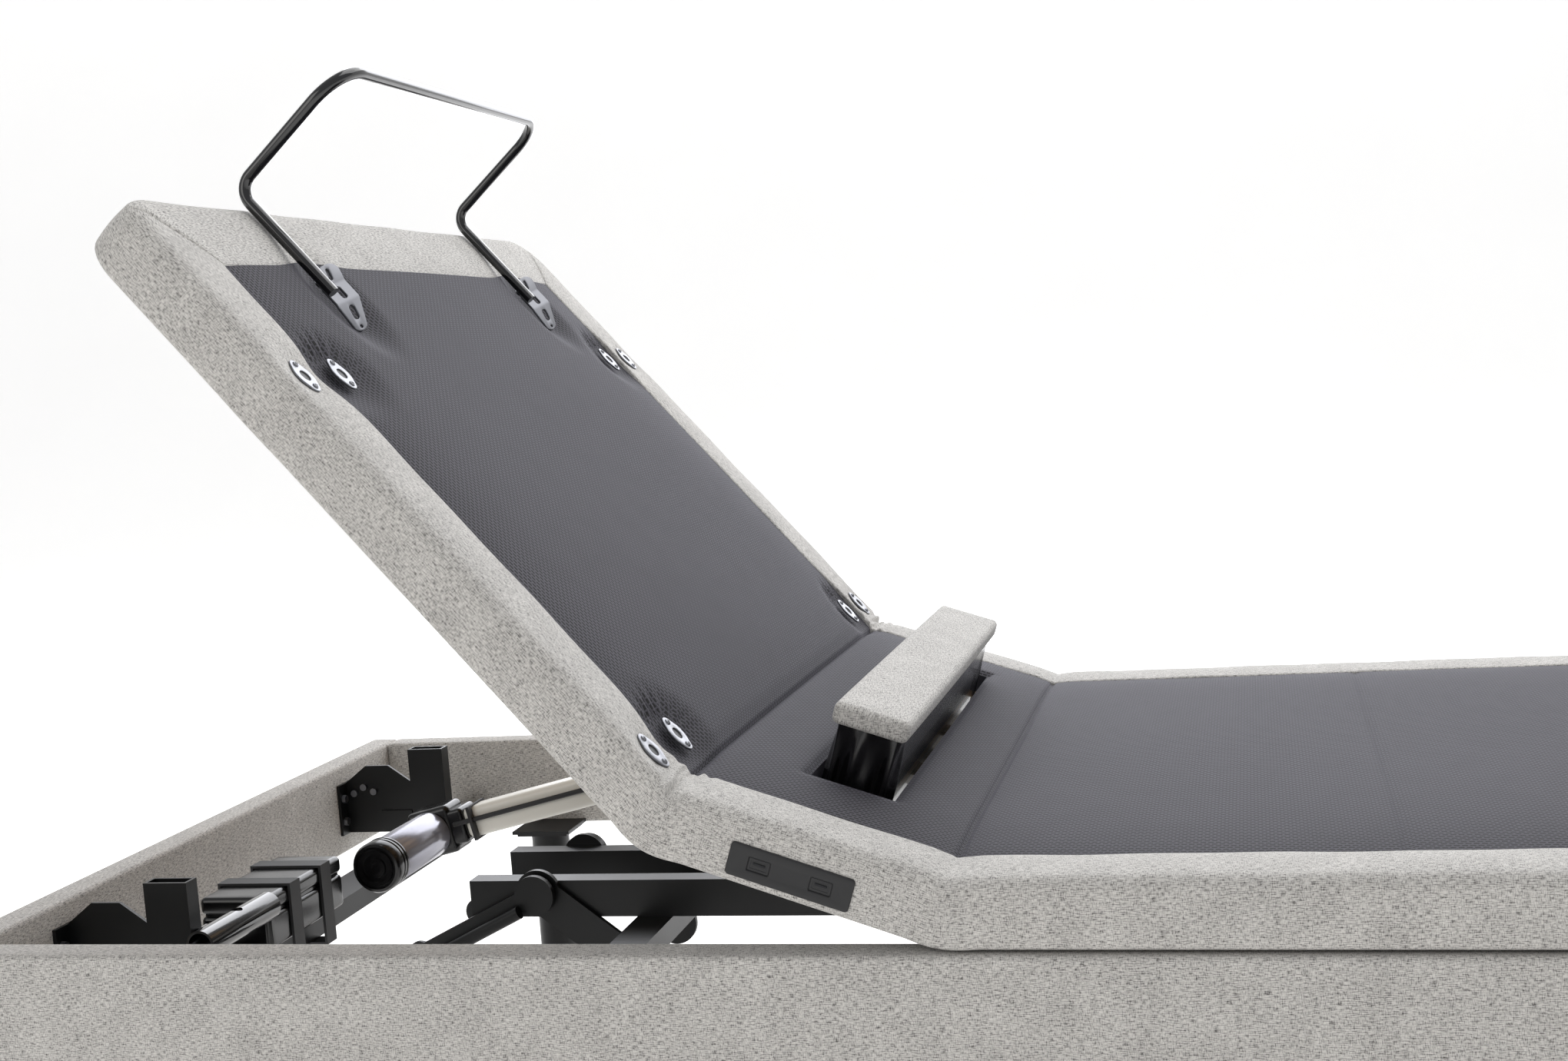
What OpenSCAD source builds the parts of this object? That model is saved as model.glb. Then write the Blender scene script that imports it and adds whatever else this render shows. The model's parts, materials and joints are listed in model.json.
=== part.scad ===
// Adjustable bed base: an articulated, upholstered deck on a fixed upholstered surround.
// +X runs to the foot, +Z up, origin on the floor under the middle of the base.
// Each section is drawn lying flat and is then turned about its own hinges into the stored pose.

/* [Overall] */
// Overall length of the surround
bed_len = 2032; // [1980:2:2080]
// Overall width of the surround
bed_w = 965; // [950:1:980]
// Height of the legs
leg_h = 185; // [150:5:230]
// Diameter of a leg
leg_d = 50; // [40:1:56]
// Height of the upholstered surround rails
rail_h = 115; // [110:1:118]
// Thickness of the surround rails
rail_t = 38; // [34:1:40]

/* [Deck] */
// Thickness of the deck from its top to the lower edge of its skirt
deck_t = 61; // [60:1:62]
// Gap between the lying deck and the surround
deck_gap = 3; // [3:0.5:5]
// Width of the upholstered border beside the mesh
border_w = 73; // [70:1:76]
// Depth of the hinge pins below the deck surface
pivot_depth = 28; // [28:1:28]
// Thickness of the mesh pad
mesh_t = 22; // [20:1:23]
// Angle of the lumbar section as stored
lumbar_angle = 19; // [17:0.5:21]
// Angle of the back section relative to the lumbar section as stored
back_angle = 30.5; // [28:0.5:32]

/* [Lumbar bar] */
// Length of the padded lumbar bar
bar_len = 620; // [580:5:640]
// Width of the padded lumbar bar
bar_w = 72; // [64:1:72]
// Height of the bar's top above the mesh as stored
bar_rise = 72; // [68:1:72]
// Thickness of the padded cap
cap_t = 21; // [18:1:24]

/* [Retainer bar] */
// Diameter of the bent rod that keeps the mattress in place
rod_d = 12; // [10:0.5:12]
// Width of the rod's loop between leg centres
loop_w = 528; // [500:2:560]
// Height of the loop above the deck surface
loop_h = 168; // [150:1:180]
// Diameter of the hole in a retainer socket
socket_d = 12; // [11:0.5:13]

/* [Mechanism] */
// Side of the square frame tubes
tube = 25; // [22:1:25]
// Wall of the square frame tubes
tube_wall = 2; // [1.5:0.5:3]
// Diameter of the section hinge pins
hinge_pin_d = 10; // [8:0.5:10]
// Diameter of the pins in the lifting linkage
link_pin_d = 10; // [8:0.5:10]
// Distance from the centre line to the lift arms
arm_y = 300; // [290:1:310]
// Distance from the centre line to the axis of an actuator
actuator_y = 190; // [185:1:195]
// Diameter of an actuator motor
motor_d = 60; // [54:1:60]

/* [Hidden] */

pin_fn = 48;
eps = 0.2;                     // clearance between welded bars, so that each stays its own solid

// deck levels
deck_top = leg_h + rail_h + deck_gap + deck_t;
pivot_z = deck_top - pivot_depth;
pad_z = deck_top - mesh_t;     // underside of the pads and of the border's top padding
board_t = 8;
board_y = 404;                 // half width of a board
frame_z = pad_z - board_t - tube;
deck_y = bed_w / 2 - 2;        // half width of the deck
mesh_y = deck_y - border_w;    // half width of the mesh
wall = 18;                     // thickness of the deck's padded skirt
corner_r = 45;

// hinge lines of the lying deck, from the head end to the foot end
head_end = -bed_len / 2 + 3;
hinge_1 = head_end + 715;
hinge_2 = hinge_1 + 250;
hinge_3 = hinge_2 + 368;
hinge_4 = hinge_3 + 290;
foot_end = bed_len / 2 - 3;
mitre_1 = 11;
mitre_2 = 7;
mitre_3 = 9;
mitre_4 = 12;
joint_gap = 0.6;

// hinge hardware beside the frame's side tubes
side_y = 432;                  // inner face of a side tube
leaf_t = 5;
leaf_r = 12;
leaf_len = 42;                 // reach of a leaf's tongue from the pin

// lifting linkage, lying flat: lift arm pivot, lug on the back section, and foot links
arm_pivot = [-61, 248.5];
arm_len = 306.5;
arm_flat = -11.9;
arm_ratio = 1.93;
lug = [hinge_1 - 124, pivot_z - 46];
link_len = 121.05;
link_angle = 59.7;
link_ratio = -2.593;
arm_w = 18;
arm_t = 10;
foot_pivot = [504, 260];
foot_lug = [764, 266];

// head and foot actuators: fixed clevis and pushed pin, lying flat
head_clevis = [-835, 232];
head_pin = [-252, 299];
foot_clevis = [-10, 242];
foot_pin = [310, 222];

beam_y = 60;
beam_low = 210;
beam_high = 250;
cross_z = 186;
post_y = 310;

function turn(p, c, a) = [c.x + (p.x - c.x) * cos(a) + (p.y - c.y) * sin(a),
                          c.y - (p.x - c.x) * sin(a) + (p.y - c.y) * cos(a)];
function heading(p, q) = atan2(q.y - p.y, q.x - p.x);
function dist(p, q) = norm(q - p);

pivot_1 = [hinge_1, pivot_z];
pivot_2 = [hinge_2, pivot_z];
head_pin_now = turn(head_pin, pivot_2, lumbar_angle);
arm_now = arm_flat + arm_ratio * lumbar_angle;
knee = arm_pivot + arm_len * [-cos(arm_now), sin(arm_now)];
lug_now = turn(turn(lug, pivot_1, back_angle), pivot_2, lumbar_angle);

// ---- placing helpers ----

// turn children about a crosswise axis through c, raising the head side by a degrees
module tilt(c, a) {
    translate([c.x, 0, c.y]) rotate([0, a, 0]) translate([-c.x, 0, -c.y]) children();
}

module on_lumbar() {
    tilt(pivot_2, lumbar_angle) children();
}

module on_back() {
    on_lumbar() tilt(pivot_1, back_angle) children();
}

module both_sides() {
    children();
    mirror([0, 1, 0]) children();
}

// ---- shape helpers ----

// a block given by its lowest corner and its size
module block(x0, y0, z0, size) {
    translate([x0, y0, z0]) cube(size);
}

// a round bar along Y
module pin_y(p, y0, y1, d) {
    translate([p.x, y0, p.y]) rotate([-90, 0, 0]) cylinder(h = y1 - y0, d = d, $fn = pin_fn);
}

// a flat outline in X and Z, given a thickness along Y from y0
module plate_y(y0, t) {
    translate([0, y0 + t, 0]) rotate([90, 0, 0]) linear_extrude(t) children();
}

// an open-ended square tube along X or along Y
module tube_x(x0, x1, y0, z0, w, h) {
    difference() {
        block(x0, y0, z0, [x1 - x0, w, h]);
        block(x0 - 1, y0 + tube_wall, z0 + tube_wall, [x1 - x0 + 2, w - 2 * tube_wall, h - 2 * tube_wall]);
    }
}

module tube_y(x0, y0, y1, z0, w, h) {
    difference() {
        block(x0, y0, z0, [w, y1 - y0, h]);
        block(x0 + tube_wall, y0 - 1, z0 + tube_wall, [w - 2 * tube_wall, y1 - y0 + 2, h - 2 * tube_wall]);
    }
}

// outline of a flat bar with round ends between two points, with a hole at each end
module bar_2d(p, q, w, hole_p, hole_q) {
    difference() {
        union() {
            translate(p) circle(d = w + 10, $fn = pin_fn);
            translate(q) circle(d = w + 10, $fn = pin_fn);
            translate(p) rotate(heading(p, q)) translate([0, -w / 2]) square([dist(p, q), w]);
        }
        if (hole_p > 0) translate(p) circle(d = hole_p, $fn = pin_fn);
        if (hole_q > 0) translate(q) circle(d = hole_q, $fn = pin_fn);
    }
}

// a slot of width w and length len, turned by a
module slot_2d(p, len, w, a) {
    translate(p) rotate(a) {
        square([len - w, w], center = true);
        translate([(len - w) / 2, 0]) circle(d = w, $fn = pin_fn);
        translate([-(len - w) / 2, 0]) circle(d = w, $fn = pin_fn);
    }
}

// ---- deck section helpers ----

// side outline of a section between two hinge lines, cut back above or below each hinge
module section_2d(x0, top0, low0, x1, top1, low1) {
    polygon([[x0 + low0, deck_top - deck_t], [x0 + joint_gap, pivot_z], [x0 + top0, deck_top],
             [x1 - top1, deck_top], [x1 - joint_gap, pivot_z], [x1 - low1, deck_top - deck_t]]);
}

// the padded block of a section, from which rims, mesh pads and boards are cut
module section_block(x0, top0, low0, x1, top1, low1, y) {
    plate_y(-y, 2 * y) section_2d(x0, top0, low0, x1, top1, low1);
}

// room for the frame under the border's top padding
module frame_room(x0, x1) {
    low = deck_top - deck_t - 1;
    block(x0, -(deck_y - wall), low, [x1 - x0, 2 * (deck_y - wall), pad_z - low]);
}

// room for the hinge leaves, a little higher than the frame
module hinge_room(x) {
    both_sides() block(x - 32, 410, pad_z - 1, [64, deck_y - wall - 410, 12]);
}

// window in the border that the mesh pad fills
module mesh_window(x0, x1) {
    block(x0, -mesh_y, pad_z - 1, [x1 - x0, 2 * mesh_y, deck_top - pad_z + 2]);
}

// two separate border strips of a middle section
module border_strips(x0, top0, low0, x1, top1, low1) {
    difference() {
        section_block(x0, top0, low0, x1, top1, low1, deck_y);
        frame_room(x0 - 1, x1 + 1);
        mesh_window(x0 - 1, x1 + 1);
        hinge_room(x0);
        hinge_room(x1);
    }
}

// mesh pad of a section, set between the borders, with its underside at z
module mesh_pad(x0, top0, x1, top1, z) {
    difference() {
        section_block(x0, top0, 0, x1, top1, 0, mesh_y - 0.5);
        block(x0 - 1, -mesh_y, 0, [x1 - x0 + 2, 2 * mesh_y, z]);
    }
}

// plan outline of an end section, rounded at its outer corners; x is the outer end
module end_plan(x, inner) {
    s = sign(inner - x);
    union() {
        translate([min(x + s * corner_r, inner), -deck_y]) square([abs(inner - x) - corner_r, 2 * deck_y]);
        translate([min(x, x + s * corner_r), -deck_y + corner_r])
            square([corner_r, 2 * (deck_y - corner_r)]);
        for (y = [-1, 1]) translate([x + s * corner_r, y * (deck_y - corner_r)])
            circle(r = corner_r, $fn = 64);
    }
}

// square tubes along both sides of a section, with crosswise tubes between them
module section_frame(x0, x1, cross) {
    both_sides() tube_x(x0, x1, side_y, frame_z, tube, tube);
    for (x = cross) tube_y(x, -side_y + eps, side_y - eps, frame_z, tube, tube);
}

// a hinge leaf beside a side tube: an eye at the pivot and a tongue along the tube
module leaf(x, dir, y0, hole) {
    plate_y(y0, leaf_t) difference() {
        union() {
            translate([x, pivot_z]) circle(r = leaf_r, $fn = pin_fn);
            translate([min(x, x + dir * leaf_len), pivot_z - 20]) square([leaf_len, 18]);
        }
        if (hole > 0) translate([x, pivot_z]) circle(d = hole, $fn = pin_fn);
    }
}

// outer leaf with its welded pin
module pinned_leaf(x, dir) {
    both_sides() {
        leaf(x, dir, side_y - leaf_t, 0);
        pin_y([x, pivot_z], side_y - 2 * leaf_t - 4, side_y - leaf_t, hinge_pin_d);
    }
}

// inner leaf that turns on the pin
module holed_leaf(x, dir) {
    both_sides() leaf(x, dir, side_y - 2 * leaf_t - 0.6, hinge_pin_d + 0.12);
}

// plywood board on a section's frame, under its mesh pad
module board(x0, x1) {
    block(x0, -board_y, pad_z - board_t, [x1 - x0, 2 * board_y, board_t - eps]);
}

// ---- surround and base ----

module head_rail() {
    color("#b5b2ac") block(-bed_len / 2, -bed_w / 2, leg_h, [rail_t, bed_w, rail_h]);
}

module foot_rail() {
    color("#b5b2ac") block(bed_len / 2 - rail_t, -bed_w / 2, leg_h, [rail_t, bed_w, rail_h]);
}

module side_rail() {
    block(-bed_len / 2 + rail_t, -bed_w / 2, leg_h, [bed_len - 2 * rail_t, rail_t, rail_h]);
}

module left_rail() {
    color("#b5b2ac") side_rail();
}

module right_rail() {
    color("#b5b2ac") mirror([0, 1, 0]) side_rail();
}

leg_x = [-733, 0, 733];
leg_y = 410;
side_in = bed_w / 2 - rail_t;  // inner face of a side rail
cross_h = beam_low - cross_z;
cross_x = [[-880, 50], [-450, 40], [-20, 40], [250, 40], [484, 40], [885, 40]];

module legs() {
    color("#151515") for (x = leg_x) both_sides() translate([x, leg_y, 0]) {
        translate([0, 0, 6]) cylinder(h = cross_z - 10, d = leg_d, $fn = 48);
        cylinder(h = 6, d = leg_d - 8, $fn = 48);
        translate([-35, -30, cross_z - 4]) cube([70, 60, 4 - eps]);
    }
}

// crosswise tubes between the side rails, and a seat plate on the rail over each corner leg
module cross_tubes() {
    color("#17181a") {
        for (c = cross_x) tube_y(c[0], -side_in, side_in, cross_z, c[1], cross_h);
        for (x = [leg_x[0], leg_x[2]]) both_sides() block(x - 40, side_in - 70, cross_z, [80, 70, 4]);
    }
}

// two long beams on the cross tubes, with short posts that carry the seat frame
module beams() {
    color("#17181a") both_sides() {
        block(-640, beam_y - 12.5, beam_low, [1550, 25, 24]);
        block(-640, beam_y - 12.5, beam_low + 20, [510, 25, beam_high - beam_low - 20]);
        block(20, beam_y - 12.5, beam_low + 20, [890, 25, beam_high - beam_low - 20]);
        for (x = seat_cross) block(x, beam_y - 12.5, beam_high - 2, [tube, 25, frame_z - beam_high + 2]);
    }
}

// a pivot boss on each beam, with a flat strut to the foot side and a strut and tube to the head side
module beam_struts() {
    boss = [-559, 238];
    foot_low = [-456, 158];
    head_low = [-700, 170];
    color("#1b1c1e") both_sides() {
        plate_y(beam_y + 13, 6) bar_2d(boss, foot_low, 40, 10, 10);
        plate_y(beam_y + 19.5, 5) bar_2d(boss, head_low, 22, 10, 10);
        pin_y(boss, beam_y + 25, beam_y + 32, 44);
    }
    color("#8c8f94") both_sides() translate([boss.x - 8, beam_y + 38, boss.y - 12])
        rotate([0, 90 - heading(boss, head_low), 0]) translate([0, 0, 8])
            cylinder(h = 130, d = 14, $fn = 32);
}

// posts that the lying back section rests on
module rest_posts() {
    color("#17181a") both_sides() difference() {
        block(-878, post_y - 10, beam_low, [48, 20, deck_top - 43 - beam_low]);
        block(-875, post_y - 7, beam_low + 3, [42, 14, deck_top]);
    }
}

// chamfered plates between the head rail and the posts
module gusset_plates() {
    x0 = -bed_len / 2 + rail_t;
    z1 = leg_h + rail_h - 1;
    color("#17181a") both_sides() {
        plate_y(post_y - 2, 4) polygon([[x0 + 4, beam_low], [x0 + 4, z1 - 22], [x0 + 34, z1],
                                        [x0 + 66, z1], [-878 - eps, z1 - 24], [-878 - eps, beam_low]]);
        plate_y(post_y - 4.4, 2.4) translate([x0 + 52, beam_low + 22]) square([44, 7]);
        block(x0, post_y - 22, beam_low, [4, 44, z1 - 22 - beam_low]);
    }
}

module gusset_bolts() {
    x0 = -bed_len / 2 + rail_t;
    color("#2b2b2d") both_sides() {
        for (z = [228, 258]) for (y = [-14, 14]) translate([x0 + 4 + eps, post_y + y, z])
            rotate([0, 90, 0]) cylinder(h = 5, d = 11, $fn = 6);
        for (p = [[16, 263], [30, 271], [44, 265]])
            pin_y([x0 + p[0], p[1]], post_y - 6.4, post_y - 2.2, 9);
    }
}

box_x = -893;
box_y = [-200, -30];
box_z = [212, 270];

// electronics box of the drive, standing on the head cross tube
module control_box() {
    color("#202123") plate_y(box_y[0], box_y[1] - box_y[0]) translate([box_x, box_z[0]])
        offset(r = 6, $fn = 32) offset(r = -6) square([80, box_z[1] - box_z[0]]);
}

// rubber straps round the box and the cross tube under it
module box_straps() {
    color("#3a3b3c") for (y = [-155, -85]) difference() {
        block(box_x - 3, y, cross_z - 3, [86, 22, box_z[1] - cross_z + 6]);
        block(box_x, y - 1, cross_z - eps, [80, 24, box_z[1] - cross_z + 2 * eps]);
    }
}

// gloss tube that holds the box's end, with a through hole
module carrier_tube() {
    p = [-812, 262];
    color("#0c0c0d") difference() {
        union() {
            pin_y(p, -335, box_y[0] - 0.5, 30);
            block(-830, -308, p.y - 9, [8, 16, 18]);
        }
        pin_y(p, -336, box_y[0] + 1, 25);
        translate([p.x, -262, p.y - 20]) cylinder(h = 40, d = 12, $fn = pin_fn);
    }
}

// fixed bearings: head clevis, lift arm bearings, foot actuator clevis and foot link brackets
module pivot_brackets() {
    color("#1b1c1e") {
        for (y = [-17, 11]) plate_y(actuator_y + y, 6) difference() {
            union() {
                translate(head_clevis) circle(r = 13, $fn = pin_fn);
                translate([head_clevis.x - 13, beam_low]) square([26, head_clevis.y - beam_low]);
            }
            translate(head_clevis) circle(d = link_pin_d, $fn = pin_fn);
        }
        pin_y(head_clevis, actuator_y - 20, actuator_y + 20, link_pin_d - 0.02);
        both_sides() plate_y(beam_y + 13, 7) difference() {
            union() {
                translate(arm_pivot) circle(r = 21, $fn = pin_fn);
                translate([arm_pivot.x - 21, beam_low]) square([42, arm_pivot.y - beam_low]);
            }
            translate(arm_pivot) circle(d = 24.12, $fn = pin_fn);
        }
        for (y = [-17, 11]) plate_y(-actuator_y + y, 6) difference() {
            union() {
                translate(foot_clevis) circle(r = 13, $fn = pin_fn);
                translate([foot_clevis.x - 8, beam_low]) square([21, foot_clevis.y - beam_low]);
            }
            translate(foot_clevis) circle(d = link_pin_d, $fn = pin_fn);
        }
        pin_y(foot_clevis, -actuator_y - 20, -actuator_y + 20, link_pin_d - 0.02);
        both_sides() {
            plate_y(arm_y - 4, 8) difference() {
                union() {
                    translate(foot_pivot) circle(r = 14, $fn = pin_fn);
                    translate([foot_pivot.x - 14, beam_low]) square([28, foot_pivot.y - beam_low]);
                }
                translate(foot_pivot) circle(d = link_pin_d, $fn = pin_fn);
            }
            pin_y(foot_pivot, arm_y - 4, arm_y + 20, link_pin_d - 0.02);
        }
    }
}

// ---- seat section, fixed to the base ----

seat_cross = [24, 250];        // crosswise tubes of the seat frame

module seat_frame() {
    color("#17181a") section_frame(hinge_2 + 20, hinge_3 - 20, seat_cross);
}

module seat_board() {
    color("#b08d5e") board(hinge_2 + 16, hinge_3 - 16);
}

module seat_rims() {
    color("#c4c0bb") border_strips(hinge_2, mitre_2, 0, hinge_3, mitre_3, 0);
}

module seat_mesh() {
    color("#3e3d42") mesh_pad(hinge_2, mitre_2, hinge_3, mitre_3, pad_z);
}

module seat_hinges() {
    color("#2b2b2d") {
        holed_leaf(hinge_2, 1);
        holed_leaf(hinge_3, -1);
    }
}

// ---- lumbar section ----

bar_x = hinge_2 - 119;         // crosswise line of the lumbar bar
bar_slot = [80, bar_len + 16];
lumbar_cross = [hinge_2 - 180, hinge_2 - 70];

module lumbar_frame() {
    color("#17181a") on_lumbar() section_frame(hinge_1 + 20, hinge_2 - 20, lumbar_cross);
}

// plate between the two cross tubes, where the bar's guides and drive are fixed
module bar_bridge(y0, w) {
    x = lumbar_cross[0] + tube + eps;
    block(x, y0, frame_z + 3, [lumbar_cross[1] - eps - x, w, 5]);
}

module bar_slot_cut() {
    block(bar_x - bar_slot[0] / 2, -bar_slot[1] / 2, deck_top - 200, [bar_slot[0], bar_slot[1], 400]);
}

module lumbar_board() {
    color("#b08d5e") on_lumbar() difference() {
        board(hinge_1 + 34, hinge_2 - 16);
        bar_slot_cut();
    }
}

module lumbar_rims() {
    color("#c4c0bb") on_lumbar() difference() {
        border_strips(hinge_1, mitre_1, 0, hinge_2, mitre_2, 0);
        usb_pocket();
    }
}

module lumbar_mesh() {
    color("#3e3d42") on_lumbar() difference() {
        mesh_pad(hinge_1, mitre_1, hinge_2, mitre_2, pad_z);
        bar_slot_cut();
    }
}

module lumbar_hinges() {
    color("#2b2b2d") on_lumbar() {
        pinned_leaf(hinge_2, -1);
        holed_leaf(hinge_1, 1);
    }
}

usb_len = 108;
usb_h = 29;
usb_x = hinge_2 - 128;
usb_z = deck_top - 38.5;
port_pitch = 54;
port_w = 13;
port_h = 5.4;

// pocket in the near border for the panel's body
module usb_pocket() {
    w = usb_len - 12;
    block(usb_x - w / 2, -deck_y - 1, usb_z - usb_h / 2 + 4, [w, 9, usb_h - 8]);
}

// charging panel with two port openings on the near side of the lumbar section
module usb_panel() {
    w = usb_len - 14;
    hole = [port_w + 1.2, 13, port_h + 1.2];
    color("#2c2c2d") on_lumbar() difference() {
        union() {
            plate_y(-deck_y - 2, 1.9) translate([usb_x, usb_z]) offset(r = 4, $fn = 32)
                square([usb_len - 8, usb_h - 8], center = true);
            block(usb_x - w / 2, -deck_y - 1, usb_z - usb_h / 2 + 5, [w, 8, usb_h - 10]);
        }
        for (s = [-1, 1])
            block(usb_x + s * port_pitch / 2 - hole.x / 2, -deck_y - 5, usb_z - hole.z / 2, hole);
    }
}

// metal shell and tongue of each port
module usb_ports() {
    color("#8f9194") on_lumbar() for (s = [-1, 1])
        translate([usb_x + s * port_pitch / 2, -deck_y - 1.4, usb_z]) {
            difference() {
                translate([-port_w / 2, 0, -port_h / 2]) cube([port_w, 8.6, port_h]);
                translate([-port_w / 2 + 0.5, -1, -port_h / 2 + 0.5]) cube([port_w - 1, 8.6, port_h - 1]);
            }
            translate([-port_w / 2 + 1.2, 1.5, 0.1]) cube([port_w - 2.4, 6.3, 1.4]);
        }
}

guide_y = 200;
guide_d = 20;
guide_rod_d = 14;
guide_low = deck_top - 128;

// guide tubes of the lumbar bar, and the clevis that the head actuator pushes
module lumbar_brackets() {
    color("#1b1c1e") on_lumbar() {
        both_sides() difference() {
            union() {
                translate([bar_x, guide_y, guide_low]) cylinder(h = 96, d = guide_d, $fn = pin_fn);
                bar_bridge(guide_y - 20, 40);
            }
            translate([bar_x, guide_y, guide_low - 1])
                cylinder(h = 100, d = guide_rod_d + 0.16, $fn = pin_fn);
        }
        for (y = [-15, 9]) plate_y(actuator_y + y, 6) difference() {
            union() {
                translate(head_pin) circle(r = 11, $fn = pin_fn);
                polygon([[head_pin.x, head_pin.y - 11], [lumbar_cross[0] + 23, frame_z - 6],
                         [lumbar_cross[0] + 23, frame_z - eps], [lumbar_cross[0], frame_z - eps],
                         [head_pin.x - 6, head_pin.y + 9]]);
            }
            translate(head_pin) circle(d = link_pin_d, $fn = pin_fn);
        }
        pin_y(head_pin, actuator_y - 18, actuator_y + 18, link_pin_d - 0.02);
    }
}

// small drive that raises the lumbar bar
module bar_drive() {
    color("#202123") on_lumbar() {
        difference() {
            union() {
                block(bar_x - 24, -24, deck_top - 132, [48, 48, 96]);
                bar_bridge(-20, 40);
            }
            translate([bar_x, 0, deck_top - 130]) cylinder(h = 120, d = 20.4, $fn = pin_fn);
        }
    }
}

// ---- lumbar bar ----

cap_z = deck_top + bar_rise - cap_t;

// padded cap with rounded ends and edges
module bar_cap() {
    color("#b9b6b1") on_lumbar() translate([0, 0, cap_z]) linear_extrude(cap_t)
        translate([bar_x, 0]) offset(r = 12, $fn = 32) square([bar_w - 24, bar_len - 24], center = true);
}

// steel plate under the cap with its two guide rods and drive rod
module bar_carrier() {
    color("#5a5c60") on_lumbar() {
        block(bar_x - 24, -bar_len / 2 + 20, cap_z - 5, [48, bar_len - 40, 5 - eps]);
        both_sides() translate([bar_x, guide_y, guide_low + 4])
            cylinder(h = cap_z - 5 - guide_low - 4, d = guide_rod_d, $fn = pin_fn);
        translate([bar_x, 0, deck_top - 58])
            cylinder(h = cap_z - 5 - deck_top + 58, d = 20, $fn = pin_fn);
    }
}

// pleated vinyl skirt between the slot and the cap, hanging outside the carrier
module bar_skirt() {
    skirt_low = deck_top - 44;
    color("#151517") on_lumbar() translate([bar_x, 0, skirt_low]) linear_extrude(cap_z - skirt_low - eps)
        difference() {
            square([66, bar_len - 12], center = true);
            square([62, bar_len - 16], center = true);
        }
}

// ---- back section ----

back_cross = [hinge_1 - 140, hinge_1 - 350, hinge_1 - 520, head_end + 26];

module back_frame() {
    color("#17181a") on_back() section_frame(head_end + wall + 2, hinge_1 - 20, back_cross);
}

module back_board() {
    color("#b08d5e") on_back() board(head_end + 92, hinge_1 - 34);
}

module end_shell(x, inner) {
    intersection() {
        children();
        translate([0, 0, deck_top - deck_t - 2]) linear_extrude(deck_t + 4) end_plan(x, inner);
    }
}

module back_rim() {
    color("#c4c0bb") on_back() difference() {
        end_shell(head_end, hinge_1) section_block(head_end, 0, 0, hinge_1, mitre_1, 0, deck_y);
        frame_room(head_end + wall, hinge_1 + 1);
        mesh_window(head_end + border_w + 15, hinge_1 + 1);
        hinge_room(hinge_1);
    }
}

module back_mesh() {
    color("#3e3d42") on_back() difference() {
        mesh_pad(head_end + border_w + 15.5, 0, hinge_1, mitre_1, pad_z);
        bracket_room();
    }
}

module back_hinges() {
    color("#2b2b2d") on_back() pinned_leaf(hinge_1, -1);
}

// mattress retainer rod: feet at the brackets, up over the border and across
rod_x = head_end - 13;
rod_z = deck_top + 8;
foot_x = head_end + 128;
bend_low = 20;
bend_high = 44;

// quarter bend of the rod about Y (low) or X (high)
module rod_bend(r) {
    rotate_extrude(angle = 90, $fn = 96) translate([r, 0]) circle(d = rod_d, $fn = 32);
}

module retainer_leg() {
    y = loop_w / 2;
    translate([rod_x + bend_low, y, rod_z]) rotate([0, 90, 0])
        cylinder(h = foot_x - rod_x - bend_low, d = rod_d, $fn = 32);
    translate([rod_x + bend_low, y, rod_z + bend_low]) rotate([-90, 90, 0]) rod_bend(bend_low);
    translate([rod_x, y, rod_z + bend_low])
        cylinder(h = loop_h - bend_low - bend_high - (rod_z - deck_top), d = rod_d, $fn = 32);
    translate([rod_x, y - bend_high, deck_top + loop_h - bend_high]) rotate([90, 0, 90])
        rod_bend(bend_high);
}

module retainer_bar() {
    color("#0c0c0d") on_back() {
        both_sides() retainer_leg();
        pin_y([rod_x, deck_top + loop_h], -loop_w / 2 + bend_high, loop_w / 2 - bend_high, rod_d);
    }
}

// both brackets are the same part and stand on the same side of their rod leg
bracket_y = [-loop_w / 2 + 20, loop_w / 2 + 20];
bracket_z = deck_top + 2;

// room in the mesh pad for the bracket's screws
module bracket_room() {
    for (y = bracket_y) block(foot_x - 20, y - 12, deck_top - 6, [40, 24, 8]);
}

// bent strap with two slots, a tab beside the rod and a rounded tip
module retainer_brackets() {
    color("#c9c9cc") on_back() for (y = bracket_y) difference() {
        union() {
            translate([0, 0, bracket_z]) linear_extrude(3) union() {
                translate([foot_x - 34, y - 13]) square([62, 26]);
                translate([foot_x + 28, y]) circle(d = 26, $fn = 48);
            }
            block(foot_x - 34, y - 13, bracket_z, [46, 3, 16]);
        }
        for (x = [foot_x - 18, foot_x + 10])
            translate([0, 0, bracket_z - 1]) linear_extrude(6) slot_2d([x, y], 18, 6, 0);
        translate([foot_x + 33, y, bracket_z - 1]) cylinder(h = 6, d = 4, $fn = 32);
    }
}

socket_x = [hinge_1 - 44, hinge_1 - 490];
socket_y = [376, 446];
// oval plates with a hole that takes a retainer peg
module retainer_sockets() {
    color("#cfcfd2") on_back() for (x = socket_x) for (y = socket_y) both_sides()
        translate([x, y, deck_top + 0.2]) difference() {
            linear_extrude(3) offset(r = 11, $fn = 32) square([14, 4], center = true);
            translate([0, 0, -1]) cylinder(h = 6, d = socket_d, $fn = pin_fn);
        }
}

// pan screws of the sockets and cap bolts of the retainer brackets
module back_fasteners() {
    color("#b9b9bc") on_back() {
        for (x = socket_x) for (y = socket_y) for (s = [-1, 1]) both_sides()
            translate([x + s * 13.5, y, deck_top + 3.2 + eps]) cylinder(h = 1.6, d = 6.4, $fn = 32);
        for (y = bracket_y) translate([foot_x - 4, y, bracket_z + 3 + eps])
            cylinder(h = 5, d = 9, $fn = 32);
    }
}

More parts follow.
